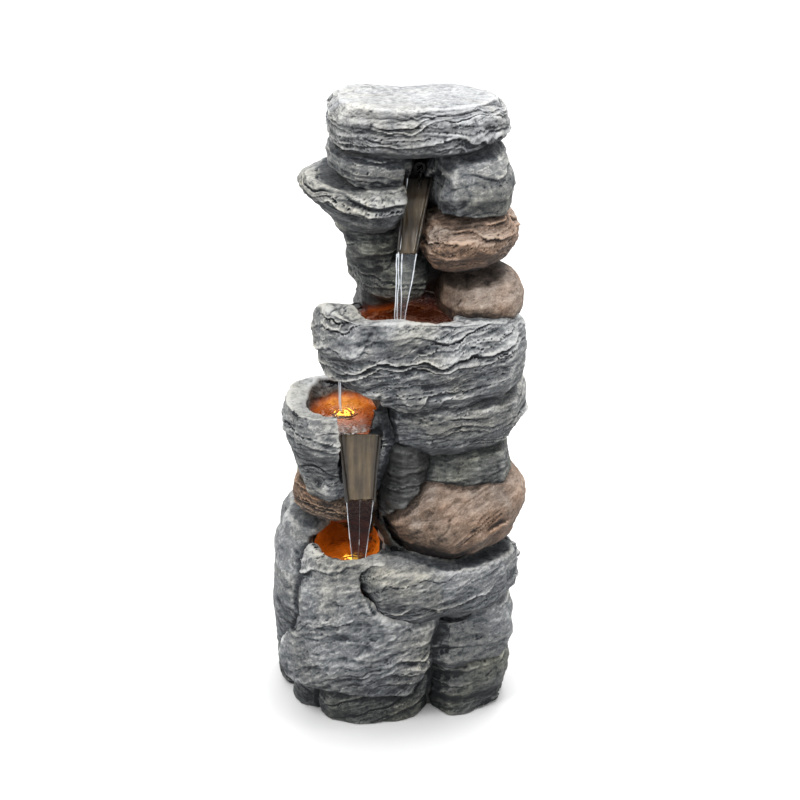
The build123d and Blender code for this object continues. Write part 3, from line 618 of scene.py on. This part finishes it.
def paint_lamplight(p, amount):
    """Adds painted lamplight as emission: deep orange where it is faint, yellow near the lamp."""
    mottle = p.math("MULTIPLY_ADD", p.noise(85.0, 4.0, 0.65), 1.8, 0.05)
    light = p.math("MULTIPLY", amount, mottle)
    p.link(p.ramp(light, [(0.0, (0.55, 0.07, 0.004)), (0.35, (1.0, 0.20, 0.008)), (0.9, (1.0, 0.50, 0.06))]),
           p.shader.inputs["Emission Color"])
    p.link(p.math("MULTIPLY", light, 1.25), p.shader.inputs["Emission Strength"])


def stone_paint(
    name, shades, tint_amount=0.5, bright=0.0, rough=0.78, lit=False, along="bedspace", dust_and_top_light=0.0
):
    """Stone paint: dark partings and cracks; crevices darker and ridges lighter, dry-brushed paint together
    with painted shade and highlight; tops lighter and undersides and the foot darker, painted light and
    shade; soft stains.
    """
    dark, low, mid, light, tint = shades
    p = Paint(name)
    streak = p.noise(75.0, 6.0, 0.68, along=along)
    fibre = p.noise(260.0, 4.0, 0.6, along=along)
    mottle = p.noise(60.0, 5.0, 0.62)
    speck = p.noise(520.0, 2.0, 0.6)
    cloud = p.noise(9.0, 4.0, 0.55)
    height = p.tree.nodes.new("ShaderNodeSeparateXYZ")
    p.link(p.coords, height.inputs[0])
    # foot: darker towards the floor, a painted shade
    foot = p.math("MULTIPLY_ADD", height.outputs["Z"], -4.0, 0.9, clamp=True)
    key = p.weighted(
        # ridge and relief: what stands out is lightened and what sinks in is darkened, dry-brushed paint
        # together with painted highlight and shade
        (p.attribute("ridge"), 0.19),
        (p.attribute("relief"), 0.22),
        (p.attribute("parting"), -0.42),
        # shut: painted shade (ambient occlusion) where other stones close in
        (p.attribute("shut"), -0.36),
        # up: faces turned up lighter, a painted top light
        (p.up(), 0.20),
        (streak, 0.34),
        (fibre, 0.28),
        (mottle, 0.34),
        (speck, 0.34),
        (cloud, 0.42),
        # painted shade towards the floor
        (foot, -0.16),
        -0.36 + bright,
    )
    colour = p.ramp(key, [(0.10, dark), (0.34, low), (0.60, mid), (0.95, light)])
    patch = p.math("SUBTRACT", p.noise(6.0, 5.0, 0.6, distortion=0.8), 0.44, clamp=True)
    stain = p.math("MULTIPLY", patch, 5.0 * tint_amount, clamp=True)
    colour = p.mix(stain, colour, p.mix(1.0, colour, tint, "MULTIPLY"))
    if dust_and_top_light:
        # faces turned up turn a lighter brown: dust together with painted top light
        top = p.math("MULTIPLY", p.math("SUBTRACT", p.up(), 0.15, clamp=True), dust_and_top_light, clamp=True)
        dust_and_top_light_colour = p.ramp(key, [(0.2, dark), (0.5, (0.165, 0.145, 0.133)), (0.95, (0.50, 0.46, 0.43))])
        colour = p.mix(top, colour, dust_and_top_light_colour)
    # undersides darkened towards near-black: painted shade under the stones, together with their darker paint
    # there
    under = p.math("MULTIPLY", p.math("SUBTRACT", -0.05, p.up(), clamp=True), 1.1, clamp=True)
    colour = p.mix(under, colour, p.mix(0.7, colour, (0.012, 0.013, 0.015)))
    p.link(colour, p.shader.inputs["Base Color"])
    p.link(p.math("MULTIPLY_ADD", mottle, -0.25, rough + 0.12), p.shader.inputs["Roughness"])
    crinkle = p.noise(150.0, 8.0, 0.72, along=along)
    p.bump(p.weighted((crinkle, 1.0), (mottle, 0.5), (speck, 0.3)), 1.0, 0.0019)
    if lit:
        paint_lamplight(p, p.attribute("glow"))
    return p.material


# each stone colour from its crevices to its ridges, and the tint of its stains
SLATE = (
    (0.005, 0.007, 0.011), (0.058, 0.065, 0.074), (0.182, 0.190, 0.198),
    (0.60, 0.605, 0.60), (1.07, 1.01, 0.86),
)
PALE = (
    (0.008, 0.010, 0.014), (0.085, 0.090, 0.098), (0.255, 0.262, 0.272),
    (0.64, 0.65, 0.66), (1.06, 1.01, 0.88),
)
# a darker copy of the slate for stones that stand in shade, low down and behind: painted shade
SHADE = (
    (0.004, 0.006, 0.008), (0.036, 0.040, 0.042), (0.115, 0.120, 0.118),
    (0.38, 0.385, 0.37), (1.06, 1.04, 0.82),
)
# a near-black copy of the slate, for stones put where there is only shade: painted shade
DEEP_SHADE = (
    (0.002, 0.0025, 0.003), (0.012, 0.013, 0.014), (0.036, 0.038, 0.037),
    (0.13, 0.133, 0.13), (1.0, 1.0, 0.8),
)
BROWN = (
    (0.010, 0.006, 0.004), (0.080, 0.054, 0.038), (0.215, 0.155, 0.115),
    (0.55, 0.450, 0.375), (1.15, 0.88, 0.66),
)
RUST = (
    (0.006, 0.004, 0.003), (0.040, 0.026, 0.017), (0.120, 0.084, 0.058),
    (0.38, 0.28, 0.20), (1.2, 0.86, 0.62),
)
PAINTS = {
    "slate": stone_paint("slate", SLATE, 0.8),
    "basin": stone_paint("basin", SLATE, 0.7, 0.06, lit=True),
    "cap": stone_paint("cap", PALE, 0.7),
    # the shaded copy of the slate: painted shade
    "shade": stone_paint("shade", SHADE, 0.8),
    # near-black stone where there is only shade: painted shade
    "dark": stone_paint("dark", DEEP_SHADE, 0.5, rough=0.5, lit=True),
    "brown": stone_paint("brown", BROWN, 0.8, 0.03, dust_and_top_light=0.4),
    "rust": stone_paint("rust", RUST, 0.9),
    # the rear panel and its door in the shaded copy of the slate: painted shade
    "panel": stone_paint("panel", SHADE, 0.8, 0.06, along=None),
}


# ---------------------------------------------------------------- the stones
@dataclass
class Look:
    """How one stone is carved and painted, in metres and degrees."""

    paint: str
    seed: int
    slot: str = "grey_stone"
    hull: bool = True  # fills the hollows of the CAD body
    beds: tuple = (0, 0)  # the beds' lean to the right and to the back
    bed: float = 0.024  # thickness of a bed
    ledge: float = 0.0060  # how far the beds stand out
    warp: float = 0.016
    lumps: float = 0.0060
    lump_size: float = 0.085
    cracks: float = 0.0026
    crack_size: float = 0.045
    stretch: float = 3.0  # how much longer the texture is along the beds
    grain: float = 0.00075
    rounding: int = 14
    beddedness: float = 0.45  # the share of the face that shows beds
    swell: float = 0.0018
    square: float = 0.0
    tip: tuple = None
    narrow: float = 0.0
    back: float = 0.0
    flat_back: float = 0.128


BOULDER = dict(bed=0.06, ledge=0.0022, cracks=0.0014, crack_size=0.06, grain=0.0006, stretch=1.7, rounding=60)
LAYERED_BOULDER = {
    **BOULDER,
    **dict(bed=0.052, ledge=0.0058, lumps=0.0080, lump_size=0.11, cracks=0.0024, stretch=2.2),
}
SMOOTH = dict(bed=0.07, ledge=0.0030, lumps=0.0085, lump_size=0.10, stretch=1.8, rounding=44, beddedness=0.2)
STONES = {
    "cap_stone": Look(
        "cap", 1, beds=(2, 1), bed=0.019, ledge=0.0075, lumps=0.0035, beddedness=0.7, rounding=6,
        square=0.24,
    ),
    "upper_left_ledge": Look(
        "slate", 2, hull=False, beds=(10, -6), bed=0.022, ledge=0.0065, rounding=8, beddedness=0.55,
        tip=(0.05, 0.45),
    ),
    "left_ledge": Look(
        "slate", 3, hull=False, beds=(12, -4), bed=0.016, ledge=0.0075, beddedness=0.7, rounding=8,
        tip=(0.09, 0.62),
    ),
    "left_column_stone": Look(
        "shade", 4, beds=(5, 0), bed=0.036, ledge=0.0050, lumps=0.0095, lump_size=0.055, narrow=0.20,
    ),
    "left_neck_stone": Look("shade", 5, beds=(6, 0), bed=0.024, ledge=0.0065),
    # painted shade: near-black foot low down at the left
    "left_foot_stone": Look("dark", 6, "dark_stone", lumps=0.007, lump_size=0.045),
    "right_top_boulder": Look(
        "slate", 7, beds=(-14, 4), bed=0.045, ledge=0.0040, lumps=0.0085, lump_size=0.07, stretch=1.6,
        beddedness=0.15,
    ),
    "right_strata_boulder": Look(
        "brown", 8, "brown_stone", beds=(-4, 2), bed=0.019, ledge=0.0068, beddedness=0.7,
    ),
    "right_smooth_boulder": Look(
        "brown", 9, "brown_stone", beds=(-8, 0), lumps=0.0045, lump_size=0.07, **BOULDER,
    ),
    # painted shade: near-black niche under the cap
    "niche_stone": Look("dark", 10, "dark_stone", hull=False, lumps=0.004, rounding=6),
    "upper_basin": Look(
        "basin", 11, hull=False, beds=(-12, 3), bed=0.032, ledge=0.0095, warp=0.024, lumps=0.0095,
        rounding=20, beddedness=0.42, stretch=2.6,
    ),
    "strata_slab": Look("slate", 12, beds=(-7, 2), bed=0.019, ledge=0.0080, lumps=0.0055, beddedness=0.8),
    "shoulder_stone": Look(
        "shade", 13, beds=(-6, 0), bed=0.034, ledge=0.0030, lumps=0.008, beddedness=0.2,
    ),
    # painted shade: near-black channel behind the chute
    "channel_stone": Look("dark", 14, "dark_stone", hull=False, lumps=0.006, rounding=12),
    "middle_basin": Look(
        "basin", 15, hull=False, beds=(6, 6), bed=0.038, ledge=0.0050, lumps=0.0090, lump_size=0.07,
        rounding=14, beddedness=0.15, stretch=2.0,
    ),
    "brown_ledge": Look("rust", 16, "brown_stone", beds=(12, 0), bed=0.015, ledge=0.0075, beddedness=0.9),
    "rear_left_stone": Look("shade", 17, "dark_stone"),
    "brown_boulder": Look("brown", 18, "brown_stone", beds=(-33, 6), **LAYERED_BOULDER),
    "base_left_boulder": Look("slate", 19, hull=False, beds=(50, -10), **SMOOTH, cracks=0.0016),
    "base_front_boulder": Look(
        "basin", 20, hull=False, beds=(-20, 10), bed=0.036, ledge=0.0075, warp=0.03, lumps=0.0110,
        lump_size=0.11, rounding=34, beddedness=0.15, stretch=2.2,
    ),
    "base_strata_slab": Look(
        "slate", 21, hull=False, beds=(-14, 3), bed=0.030, ledge=0.0080, warp=0.02, lumps=0.0070,
        back=1.3,
    ),
    "base_rear_stone": Look("shade", 22, "dark_stone", hull=False, rounding=12),
    "base_right_middle_stone": Look(
        "slate", 23, hull=False, beds=(-8, 3), bed=0.045, ledge=0.0055, lumps=0.0090, beddedness=0.25,
        stretch=2.0,
    ),
    "base_right_foot": Look(
        "shade", 24, hull=False, beds=(-4, 0), bed=0.044, ledge=0.0055, lumps=0.0085, beddedness=0.2,
        stretch=2.0,
    ),
    "base_front_foot": Look(
        "shade", 25, hull=False, beds=(-16, 0), bed=0.044, ledge=0.0050, lumps=0.0085, beddedness=0.2,
        stretch=2.0,
    ),
    "base_left_front_foot": Look(
        "shade", 26, hull=False, beds=(10, 0), bed=0.040, ledge=0.0035, lumps=0.0075, lump_size=0.06,
    ),
    "base_left_rear_foot": Look(
        "shade", 27, hull=False, beds=(6, 0), bed=0.044, ledge=0.0035, lumps=0.0075, lump_size=0.06,
    ),
}


def repaint(obj, material):
    obj.data.materials.clear()
    obj.data.materials.append(material)


def build_stones():
    rocks = []
    for node, settings in STONES.items():
        obj = remeshed(outer_shell(node, settings.hull), "rock_" + node, VOXEL, settings.rounding)
        carve_stone(obj, settings)
        repaint(obj, PAINTS[settings.paint])
        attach(obj, "fountain")
        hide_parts(node)
        rocks.append(obj)
    paint_shade_between_stones(rocks)


# ---------------------------------------------------------------- water
def new_piece(name, points, faces, material, body="fountain"):
    mesh = bpy.data.meshes.new(name)
    mesh.from_pydata([tuple(v) for v in points], [], faces)
    mesh.materials.append(material)
    mesh.shade_smooth()
    obj = bpy.data.objects.new(name, mesh)
    bpy.context.scene.collection.objects.link(obj)
    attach(obj, body)
    return obj


def pool_surface(name, pool, material):
    """The rippled top of the water: rings round each fall's landing, and a restless chop."""
    rings, sectors = ((70, 200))
    angle = np.arange(sectors) * 2.0 * math.pi / sectors
    edge = np.stack(rim(pool, angle, 0.005), 1)
    share = (np.arange(1, rings + 1) / rings)[:, None, None]
    plane = np.array(pool.middle) + share * (edge - np.array(pool.middle))
    plane = np.vstack([np.array(pool.middle)[None], plane.reshape(-1, 2)])
    flat = np.column_stack([plane, np.zeros(len(plane))])
    z = 0.0011 * fractal(flat, 0.020, 300, 2) + 0.0007 * fractal(flat, 0.0065, 301, 2, 0.6)
    for k, place in enumerate(pool.lands):
        r = np.linalg.norm(plane - np.array(place), axis=1)
        z += 0.0016 * np.exp(-r / 0.030) * np.sin(r * 2.0 * math.pi / 0.0085 + k)
        z += 0.0022 * np.exp(-r / 0.010) * (0.4 + fractal(flat, 0.004, 320 + k, 2))
    rush = np.zeros(len(plane))
    if pool.lip:
        rush = np.exp(-(np.linalg.norm(plane - np.array(pool.lip), axis=1) / 0.034) ** 2)
        z += 0.0013 * rush * fractal(flat, 0.0060, 340, 2, 0.6)
    points = np.column_stack([plane, pool.level + z])
    faces = [(0, 1 + i, 1 + (i + 1) % sectors) for i in range(sectors)]
    for j in range(rings - 1):
        a, b = 1 + j * sectors, 1 + (j + 1) * sectors
        faces += [(a + i, b + i, b + (i + 1) % sectors, a + (i + 1) % sectors) for i in range(sectors)]
    obj = new_piece(name, points, faces, material)
    store(obj.data, "foam", rush * np.clip(1.6 * fractal(flat, 0.0045, 350, 3, 0.6) - 0.1, 0.0, 1.0))
    return obj


def strand(path, thick, thin, seed, wobble=0.0012, sides=8, steps=70):
    """Points and faces of one thread of water along a path, which wavers and varies in thickness."""
    path = np.array(path, float)
    t = np.linspace(0.0, 1.0, steps)
    knots = np.linspace(0.0, 1.0, len(path))
    line = np.stack([np.interp(t, knots, path[:, k]) for k in range(3)], 1)
    for _ in range(8):
        line[1:-1] = 0.25 * line[:-2] + 0.5 * line[1:-1] + 0.25 * line[2:]
    length = np.linalg.norm(np.diff(path, axis=0), axis=1).sum()
    probe = np.stack([t * length / 0.022, np.full(steps, seed * 1.7), np.zeros(steps)], 1)
    line[:, 0] += wobble * t * value_noise(probe, seed)
    line[:, 1] += wobble * t * value_noise(probe, seed + 1)
    radius = (thick + (thin - thick) * t) * (1.0 + 0.40 * value_noise(probe * 2.3, seed + 2))
    radius[0] *= 0.7
    around = np.arange(sides) * 2.0 * math.pi / sides
    ring = np.stack([np.cos(around), np.sin(around), np.zeros(sides)], 1)
    points = (line[:, None, :] + radius[:, None, None] * ring[None]).reshape(-1, 3)
    faces = []
    for j in range(steps - 1):
        a, b = j * sides, (j + 1) * sides
        faces += [(a + i, a + (i + 1) % sides, b + (i + 1) % sides, b + i) for i in range(sides)]
    faces += [tuple(range(sides))[::-1], tuple(range((steps - 1) * sides, steps * sides))]
    return points, faces


def threads(name, strands, material):
    """Several strands of water as one piece."""
    points, faces = [], []
    for more, shapes in strands:
        start = sum(len(p) for p in points)
        faces += [tuple(start + i for i in face) for face in shapes]
        points.append(more)
    return new_piece(name, np.vstack(points), faces, material)


def sheet(name, left, right, material, seed, columns=24, rows=90):
    """The thin film of water between two edge paths."""
    t = np.linspace(0.0, 1.0, rows)
    edges = []
    for path in (left, right):
        path = np.array(path, float)
        knots = np.linspace(0.0, 1.0, len(path))
        edges.append(np.stack([np.interp(t, knots, path[:, k]) for k in range(3)], 1))
    u = np.linspace(0.0, 1.0, columns)[None, :, None]
    points = (edges[0][:, None, :] * (1 - u) + edges[1][:, None, :] * u).reshape(-1, 3)
    ripple = fractal(points * np.array((1.0, 1.0, 0.22)), 0.007, seed, 2)
    points[:, 1] += 0.0014 * ripple - 0.002
    faces = [(j * columns + i, j * columns + i + 1, (j + 1) * columns + i + 1, (j + 1) * columns + i)
             for j in range(rows - 1) for i in range(columns - 1)]
    return new_piece(name, points, faces, material)


def water_paint(name, colour, clear=1.0, alpha=1.0, rough=0.03, shine=0.0, specular=0.5, foam=False):
    p = Paint(name)
    p.set(Roughness=rough, IOR=1.33, Alpha=alpha, Specular_IOR_Level=specular)
    p.shader.inputs["Transmission Weight"].default_value = clear
    streak = p.noise(160.0, 4.0, 0.6, stretch=(1.0, 1.0, 0.15))
    darker = tuple(0.75 * c for c in colour)
    p.link(p.ramp(streak, [(0.3, darker), (0.7, colour)]), p.shader.inputs["Base Color"])
    if foam:
        between = p.math("SUBTRACT", 1.0, p.attribute("foam"), clamp=True)
        p.link(between, p.shader.inputs["Transmission Weight"])
    # shine: bluish-white emission that makes the falling water glint: a painted highlight
    if shine:
        p.shader.inputs["Emission Color"].default_value = (0.85, 0.93, 1.0, 1.0)
        p.shader.inputs["Emission Strength"].default_value = shine
    p.bump(p.noise(240.0, 3.0, 0.6, stretch=(1.0, 1.0, 0.35)), 0.4, 0.0008)
    return p.material


def build_water():
    clear = water_paint("pool_water", (0.95, 0.90, 0.84), foam=True)
    bright = water_paint("falling_water", (0.93, 0.96, 1.0), 0.35, 0.92, 0.06, 0.16)
    film = water_paint("water_film", (0.80, 0.86, 0.92), 0.6, 0.18, 0.04)
    # a near-black film over the middle fall, where the hollow behind it lies in shade: painted shadow
    shadow_film = water_paint("water_film_painted_shadow", (0.016, 0.005, 0.005), 0.0, 0.80, 0.25, specular=0.3)
    for name, pool in POOLS.items():
        pool_surface(name + "_pool_water", pool, clear)
    lip, foot = 0.873, POOLS["upper"].level
    tops = (-0.0055, -0.0020, 0.0035, 0.0275)
    feet = (-0.0090, -0.0040, 0.0000, 0.0060)
    paths = [
        [(x, -0.104, lip), (x + 0.3 * (e - x), -0.110, 0.83), (e, -0.113, foot - 0.001)]
        for x, e in zip(tops, feet)
    ]
    strands = [strand(path, 0.0010, 0.0008, 40 + 3 * k, 0.0020) for k, path in enumerate(paths)]
    threads("upper_fall", strands, bright)
    sheet("upper_fall_film", paths[0], paths[3], film, 61)
    run = [(0.013, -0.034, 0.985), (0.005, -0.068, 0.941), (-0.0005, -0.108, 0.883), (-0.0055, -0.109, 0.868)]
    jet = [(0.034, -0.020, 0.999), (0.033, -0.034, 0.994), (0.032, -0.046, 0.972)]
    threads("upper_run", [strand(run, 0.0012, 0.0010, 70, 0.0022)], bright)
    threads("spout_jet", [strand(jet, 0.0045, 0.0030, 73, 0.001)], clear)
    level = POOLS["base"].level
    tops, feet = (-0.0930, -0.0700, -0.0470), (-0.0830, -0.0740, -0.0650)
    paths = [
        [(x, -0.148, 0.437), (x + 0.35 * (e - x), -0.152, 0.385), (e, -0.154, level)]
        for x, e in zip(tops, feet)
    ]
    radii = ((0.0010, 0.0009), (0.0005, 0.0004), (0.0010, 0.0008))
    strands = [strand(path, *r, 80 + 3 * k) for (k, path), r in zip(enumerate(paths), radii)]
    threads("middle_fall", strands, bright)
    sheet("middle_fall_film", paths[0], paths[2], shadow_film, 91)
    spill = [
        (-0.074, -0.058, 0.7455), (-0.094, -0.050, 0.7450), (-0.1035, -0.044, 0.738),
        (-0.1050, -0.040, 0.66), (-0.1050, -0.038, POOLS["middle"].level),
    ]
    beside = [(x - 0.003, y, z) for x, y, z in spill]
    threads("side_spill", [strand(spill, 0.0022, 0.0011, 100), strand(beside, 0.0012, 0.0007, 103)], bright)


# ---------------------------------------------------------------- chutes, panel and fittings
def bronze_paint():
    p = Paint("bronze")
    streak = p.noise(95.0, 5.0, 0.6, stretch=(1.0, 0.10, 0.10))
    patch = p.noise(18.0, 4.0, 0.6)
    # edge darkens the chute's sides and the upper chute's head: painted shade
    key = p.weighted((streak, 0.85), (patch, 0.50), (p.attribute("edge"), -0.42), -0.12)
    stops = [
        (0.15, (0.008, 0.006, 0.004)), (0.42, (0.050, 0.034, 0.017)),
        (0.60, (0.115, 0.080, 0.040)), (0.88, (0.26, 0.20, 0.12)),
    ]
    p.link(p.ramp(key, stops), p.shader.inputs["Base Color"])
    p.set(Roughness=0.42)
    p.shader.inputs["Coat Weight"].default_value = 0.25
    p.shader.inputs["Coat Roughness"].default_value = 0.12
    p.bump(p.weighted((streak, 1.0), (p.noise(300.0, 3.0), 0.3)), 0.8, 0.0014)
    return p.material


def build_chutes():
    paint = bronze_paint()
    chutes = (
        ("upper_chute", 200, (0.032, -0.026, 0.984), (0.012, -0.104, 0.874), 0.050, 0.036, 1.1),
        ("middle_chute", 210, (-0.069, -0.138, 0.558), (-0.069, -0.148, 0.438), 0.076, 0.052, 0.0),
    )
    for node, seed, head, lip, wide, narrow, shaded in chutes:
        obj = remeshed(outer_shell(node, False), "stone_" + node, 0.0014, 5)
        points, normals = read_mesh(obj.data), read_normals(obj.data)
        along = points * np.array((1.0, 0.12, 0.12))
        wave = 0.0007 * fractal(along, 0.006, seed, 2) + 0.0008 * fractal(points, 0.03, seed + 5, 2)
        write_mesh(obj.data, points + normals * wave[:, None])
        t = np.clip((points[:, 2] - head[2]) / (lip[2] - head[2]), 0.0, 1.0)
        across = np.abs(points[:, 0] - head[0] - (lip[0] - head[0]) * t) / (wide + (narrow - wide) * t)
        # edge: the chute's sides darkened, and with shaded the upper chute's head under the cap: painted
        # shade
        store(obj.data, "edge", np.clip(np.maximum((across - 0.30) / 0.16, shaded - 2.6 * t), 0.0, 1.0))
        repaint(obj, paint)
        obj.data.shade_smooth()
        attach(obj, "fountain")
        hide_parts(node)


def plastic(name, colour, rough=0.42, grain=900.0, depth=0.00012, vary=0.25):
    """Moulded plastic: a fine grain, faint flow marks and uneven gloss."""
    p = Paint(name)
    flow = p.noise(14.0, 5.0, 0.6, distortion=1.2)
    fine = p.noise(grain, 2.0, 0.5)
    darker = tuple(c * (1.0 - vary) for c in colour)
    lighter = tuple(min(1.0, c * (1.0 + 2.0 * vary) + 0.004) for c in colour)
    p.link(p.ramp(flow, [(0.3, darker), (0.7, lighter)]), p.shader.inputs["Base Color"])
    p.link(p.math("MULTIPLY_ADD", p.noise(45.0, 4.0), 0.3, rough - 0.15), p.shader.inputs["Roughness"])
    p.bump(p.weighted((fine, 1.0), (p.noise(160.0), 0.4)), 0.5, depth)
    return p.material


def wet_liner():
    """The tub's and the pan's plastic: faint lime marks, and lamplight near the base pool's lamp."""
    p = Paint("liner")
    lime = p.math("SUBTRACT", p.noise(40.0, 6.0, 0.7), 0.52, clamp=True)
    p.link(p.mix(p.math("MULTIPLY", lime, 4.0, clamp=True), (0.035, 0.034, 0.034), (0.13, 0.12, 0.105)),
           p.shader.inputs["Base Color"])
    p.link(p.math("MULTIPLY_ADD", p.noise(60.0), 0.3, 0.25), p.shader.inputs["Roughness"])
    p.bump(p.noise(300.0, 4.0), 0.5, 0.0004)
    toward, gap, aim, dot = (p.tree.nodes.new("ShaderNodeVectorMath") for _ in range(4))
    for node, operation in ((toward, "SUBTRACT"), (gap, "LENGTH"), (aim, "NORMALIZE"), (dot, "DOT_PRODUCT")):
        node.operation = operation
    toward.inputs[0].default_value = Vector(POOLS["base"].lamp) + Vector(LAMP_OVER)
    p.link(p.coords, toward.inputs[1])
    p.link(toward.outputs["Vector"], gap.inputs[0])
    p.link(toward.outputs["Vector"], aim.inputs[0])
    p.link(aim.outputs["Vector"], dot.inputs[0])
    p.link(p.tree.nodes.new("ShaderNodeNewGeometry").outputs["Normal"], dot.inputs[1])
    facing = p.math("MULTIPLY_ADD", dot.outputs["Value"], 1.6, 0.2, clamp=True)
    fade = p.math("POWER", 2.718, p.math("MULTIPLY", gap.outputs["Value"], -24.0))
    paint_lamplight(p, p.math("MULTIPLY", facing, p.math("MULTIPLY", fade, 1.3)))
    return p.material


def steel_paint():
    p = Paint("zinc_steel")
    p.set(Metallic=1.0)
    brushed = p.noise(700.0, 3.0, 0.6, stretch=(0.06, 1.0, 1.0))
    stops = [(0.3, (0.42, 0.43, 0.45)), (0.7, (0.66, 0.67, 0.68))]
    p.link(p.ramp(brushed, stops), p.shader.inputs["Base Color"])
    p.link(p.math("MULTIPLY_ADD", brushed, 0.25, 0.22), p.shader.inputs["Roughness"])
    p.bump(brushed, 0.4, 0.00008)
    return p.material


def tube_paint():
    p = Paint("vinyl_tube")
    cloudy = p.noise(30.0, 4.0, 0.6)
    stops = [(0.3, (0.48, 0.52, 0.51)), (0.7, (0.66, 0.69, 0.68))]
    p.link(p.ramp(cloudy, stops), p.shader.inputs["Base Color"])
    p.set(Roughness=0.16, IOR=1.45)
    p.shader.inputs["Transmission Weight"].default_value = 0.55
    p.bump(p.noise(400.0), 0.2, 0.0002)
    return p.material


def lens_paint():
    p = Paint("amber_lens")
    facets = p.noise(240.0, 2.0, 0.5)
    glass = [(0.3, (1.0, 0.34, 0.03)), (0.7, (1.0, 0.58, 0.10))]
    light = [(0.3, (1.0, 0.42, 0.03)), (0.7, (1.0, 0.72, 0.12))]
    p.link(p.ramp(facets, glass), p.shader.inputs["Base Color"])
    p.link(p.ramp(facets, light), p.shader.inputs["Emission Color"])
    p.set(Roughness=0.12, Emission_Strength=3.2)
    p.bump(facets, 0.4, 0.0005)
    return p.material


def moulded(node, body):
    """The rear panel or its door, with a stone-like face that only ever sinks below the modelled one."""
    obj = remeshed(outer_shell(node, False), "face_" + node, 0.0016, 1)
    points, normals = read_mesh(obj.data), read_normals(obj.data)
    outward = np.clip(normals[:, 1] * 3.0 - 2.0, 0.0, 1.0)
    dent = 0.0009 * np.abs(fractal(points, 0.02, 400, 3))
    dent += 0.0008 * (1.0 - np.clip(ridged(points, 0.03, 410), 0, 1)) ** 3
    points[:, 1] -= outward * dent
    write_mesh(obj.data, points)
    repaint(obj, PAINTS["panel"])
    obj.data.shade_smooth()
    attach(obj, body)
    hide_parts(node)


def build_fittings():
    moulded("rear_panel", "fountain")
    moulded("hatch_door", "service_hatch")
    by_slot = {
        "liner_plastic": wet_liner(),
        "black_plastic": plastic("black_plastic", (0.018, 0.018, 0.019)),
        "black_rubber": plastic("black_rubber", (0.022, 0.021, 0.021), 0.75, 500.0, 0.0003),
        "amber_lens": lens_paint(),
        "lead_sheath": plastic("lead_sheath", (0.014, 0.014, 0.014), 0.55, 700.0, 0.0002),
        "clear_tube": tube_paint(),
        "steel": steel_paint(),
        "impeller_plastic": plastic("impeller_plastic", (0.50, 0.51, 0.52), 0.38, vary=0.08),
        "dial_plastic": plastic("dial_plastic", (0.36, 0.37, 0.38), 0.4, vary=0.10),
    }
    shown = {row["node"]: row["material_slot"] for row in frame["record"]["subparts"]}
    for node, slot in shown.items():
        if slot in by_slot:
            repaint(NODES[node], by_slot[slot])
    for node in ("drain_strainer", "drain_pipe", "base_lamp"):
        repaint(NODES[node], by_slot["liner_plastic"])
    # near-black nozzle, so that it reads as the shade in the niche: painted shade
    repaint(NODES["spout_nozzle"], plastic("shaded_plastic", (0.003, 0.003, 0.003), 0.85))


camera()
studio()
build_stones()
build_water()
build_chutes()
build_fittings()
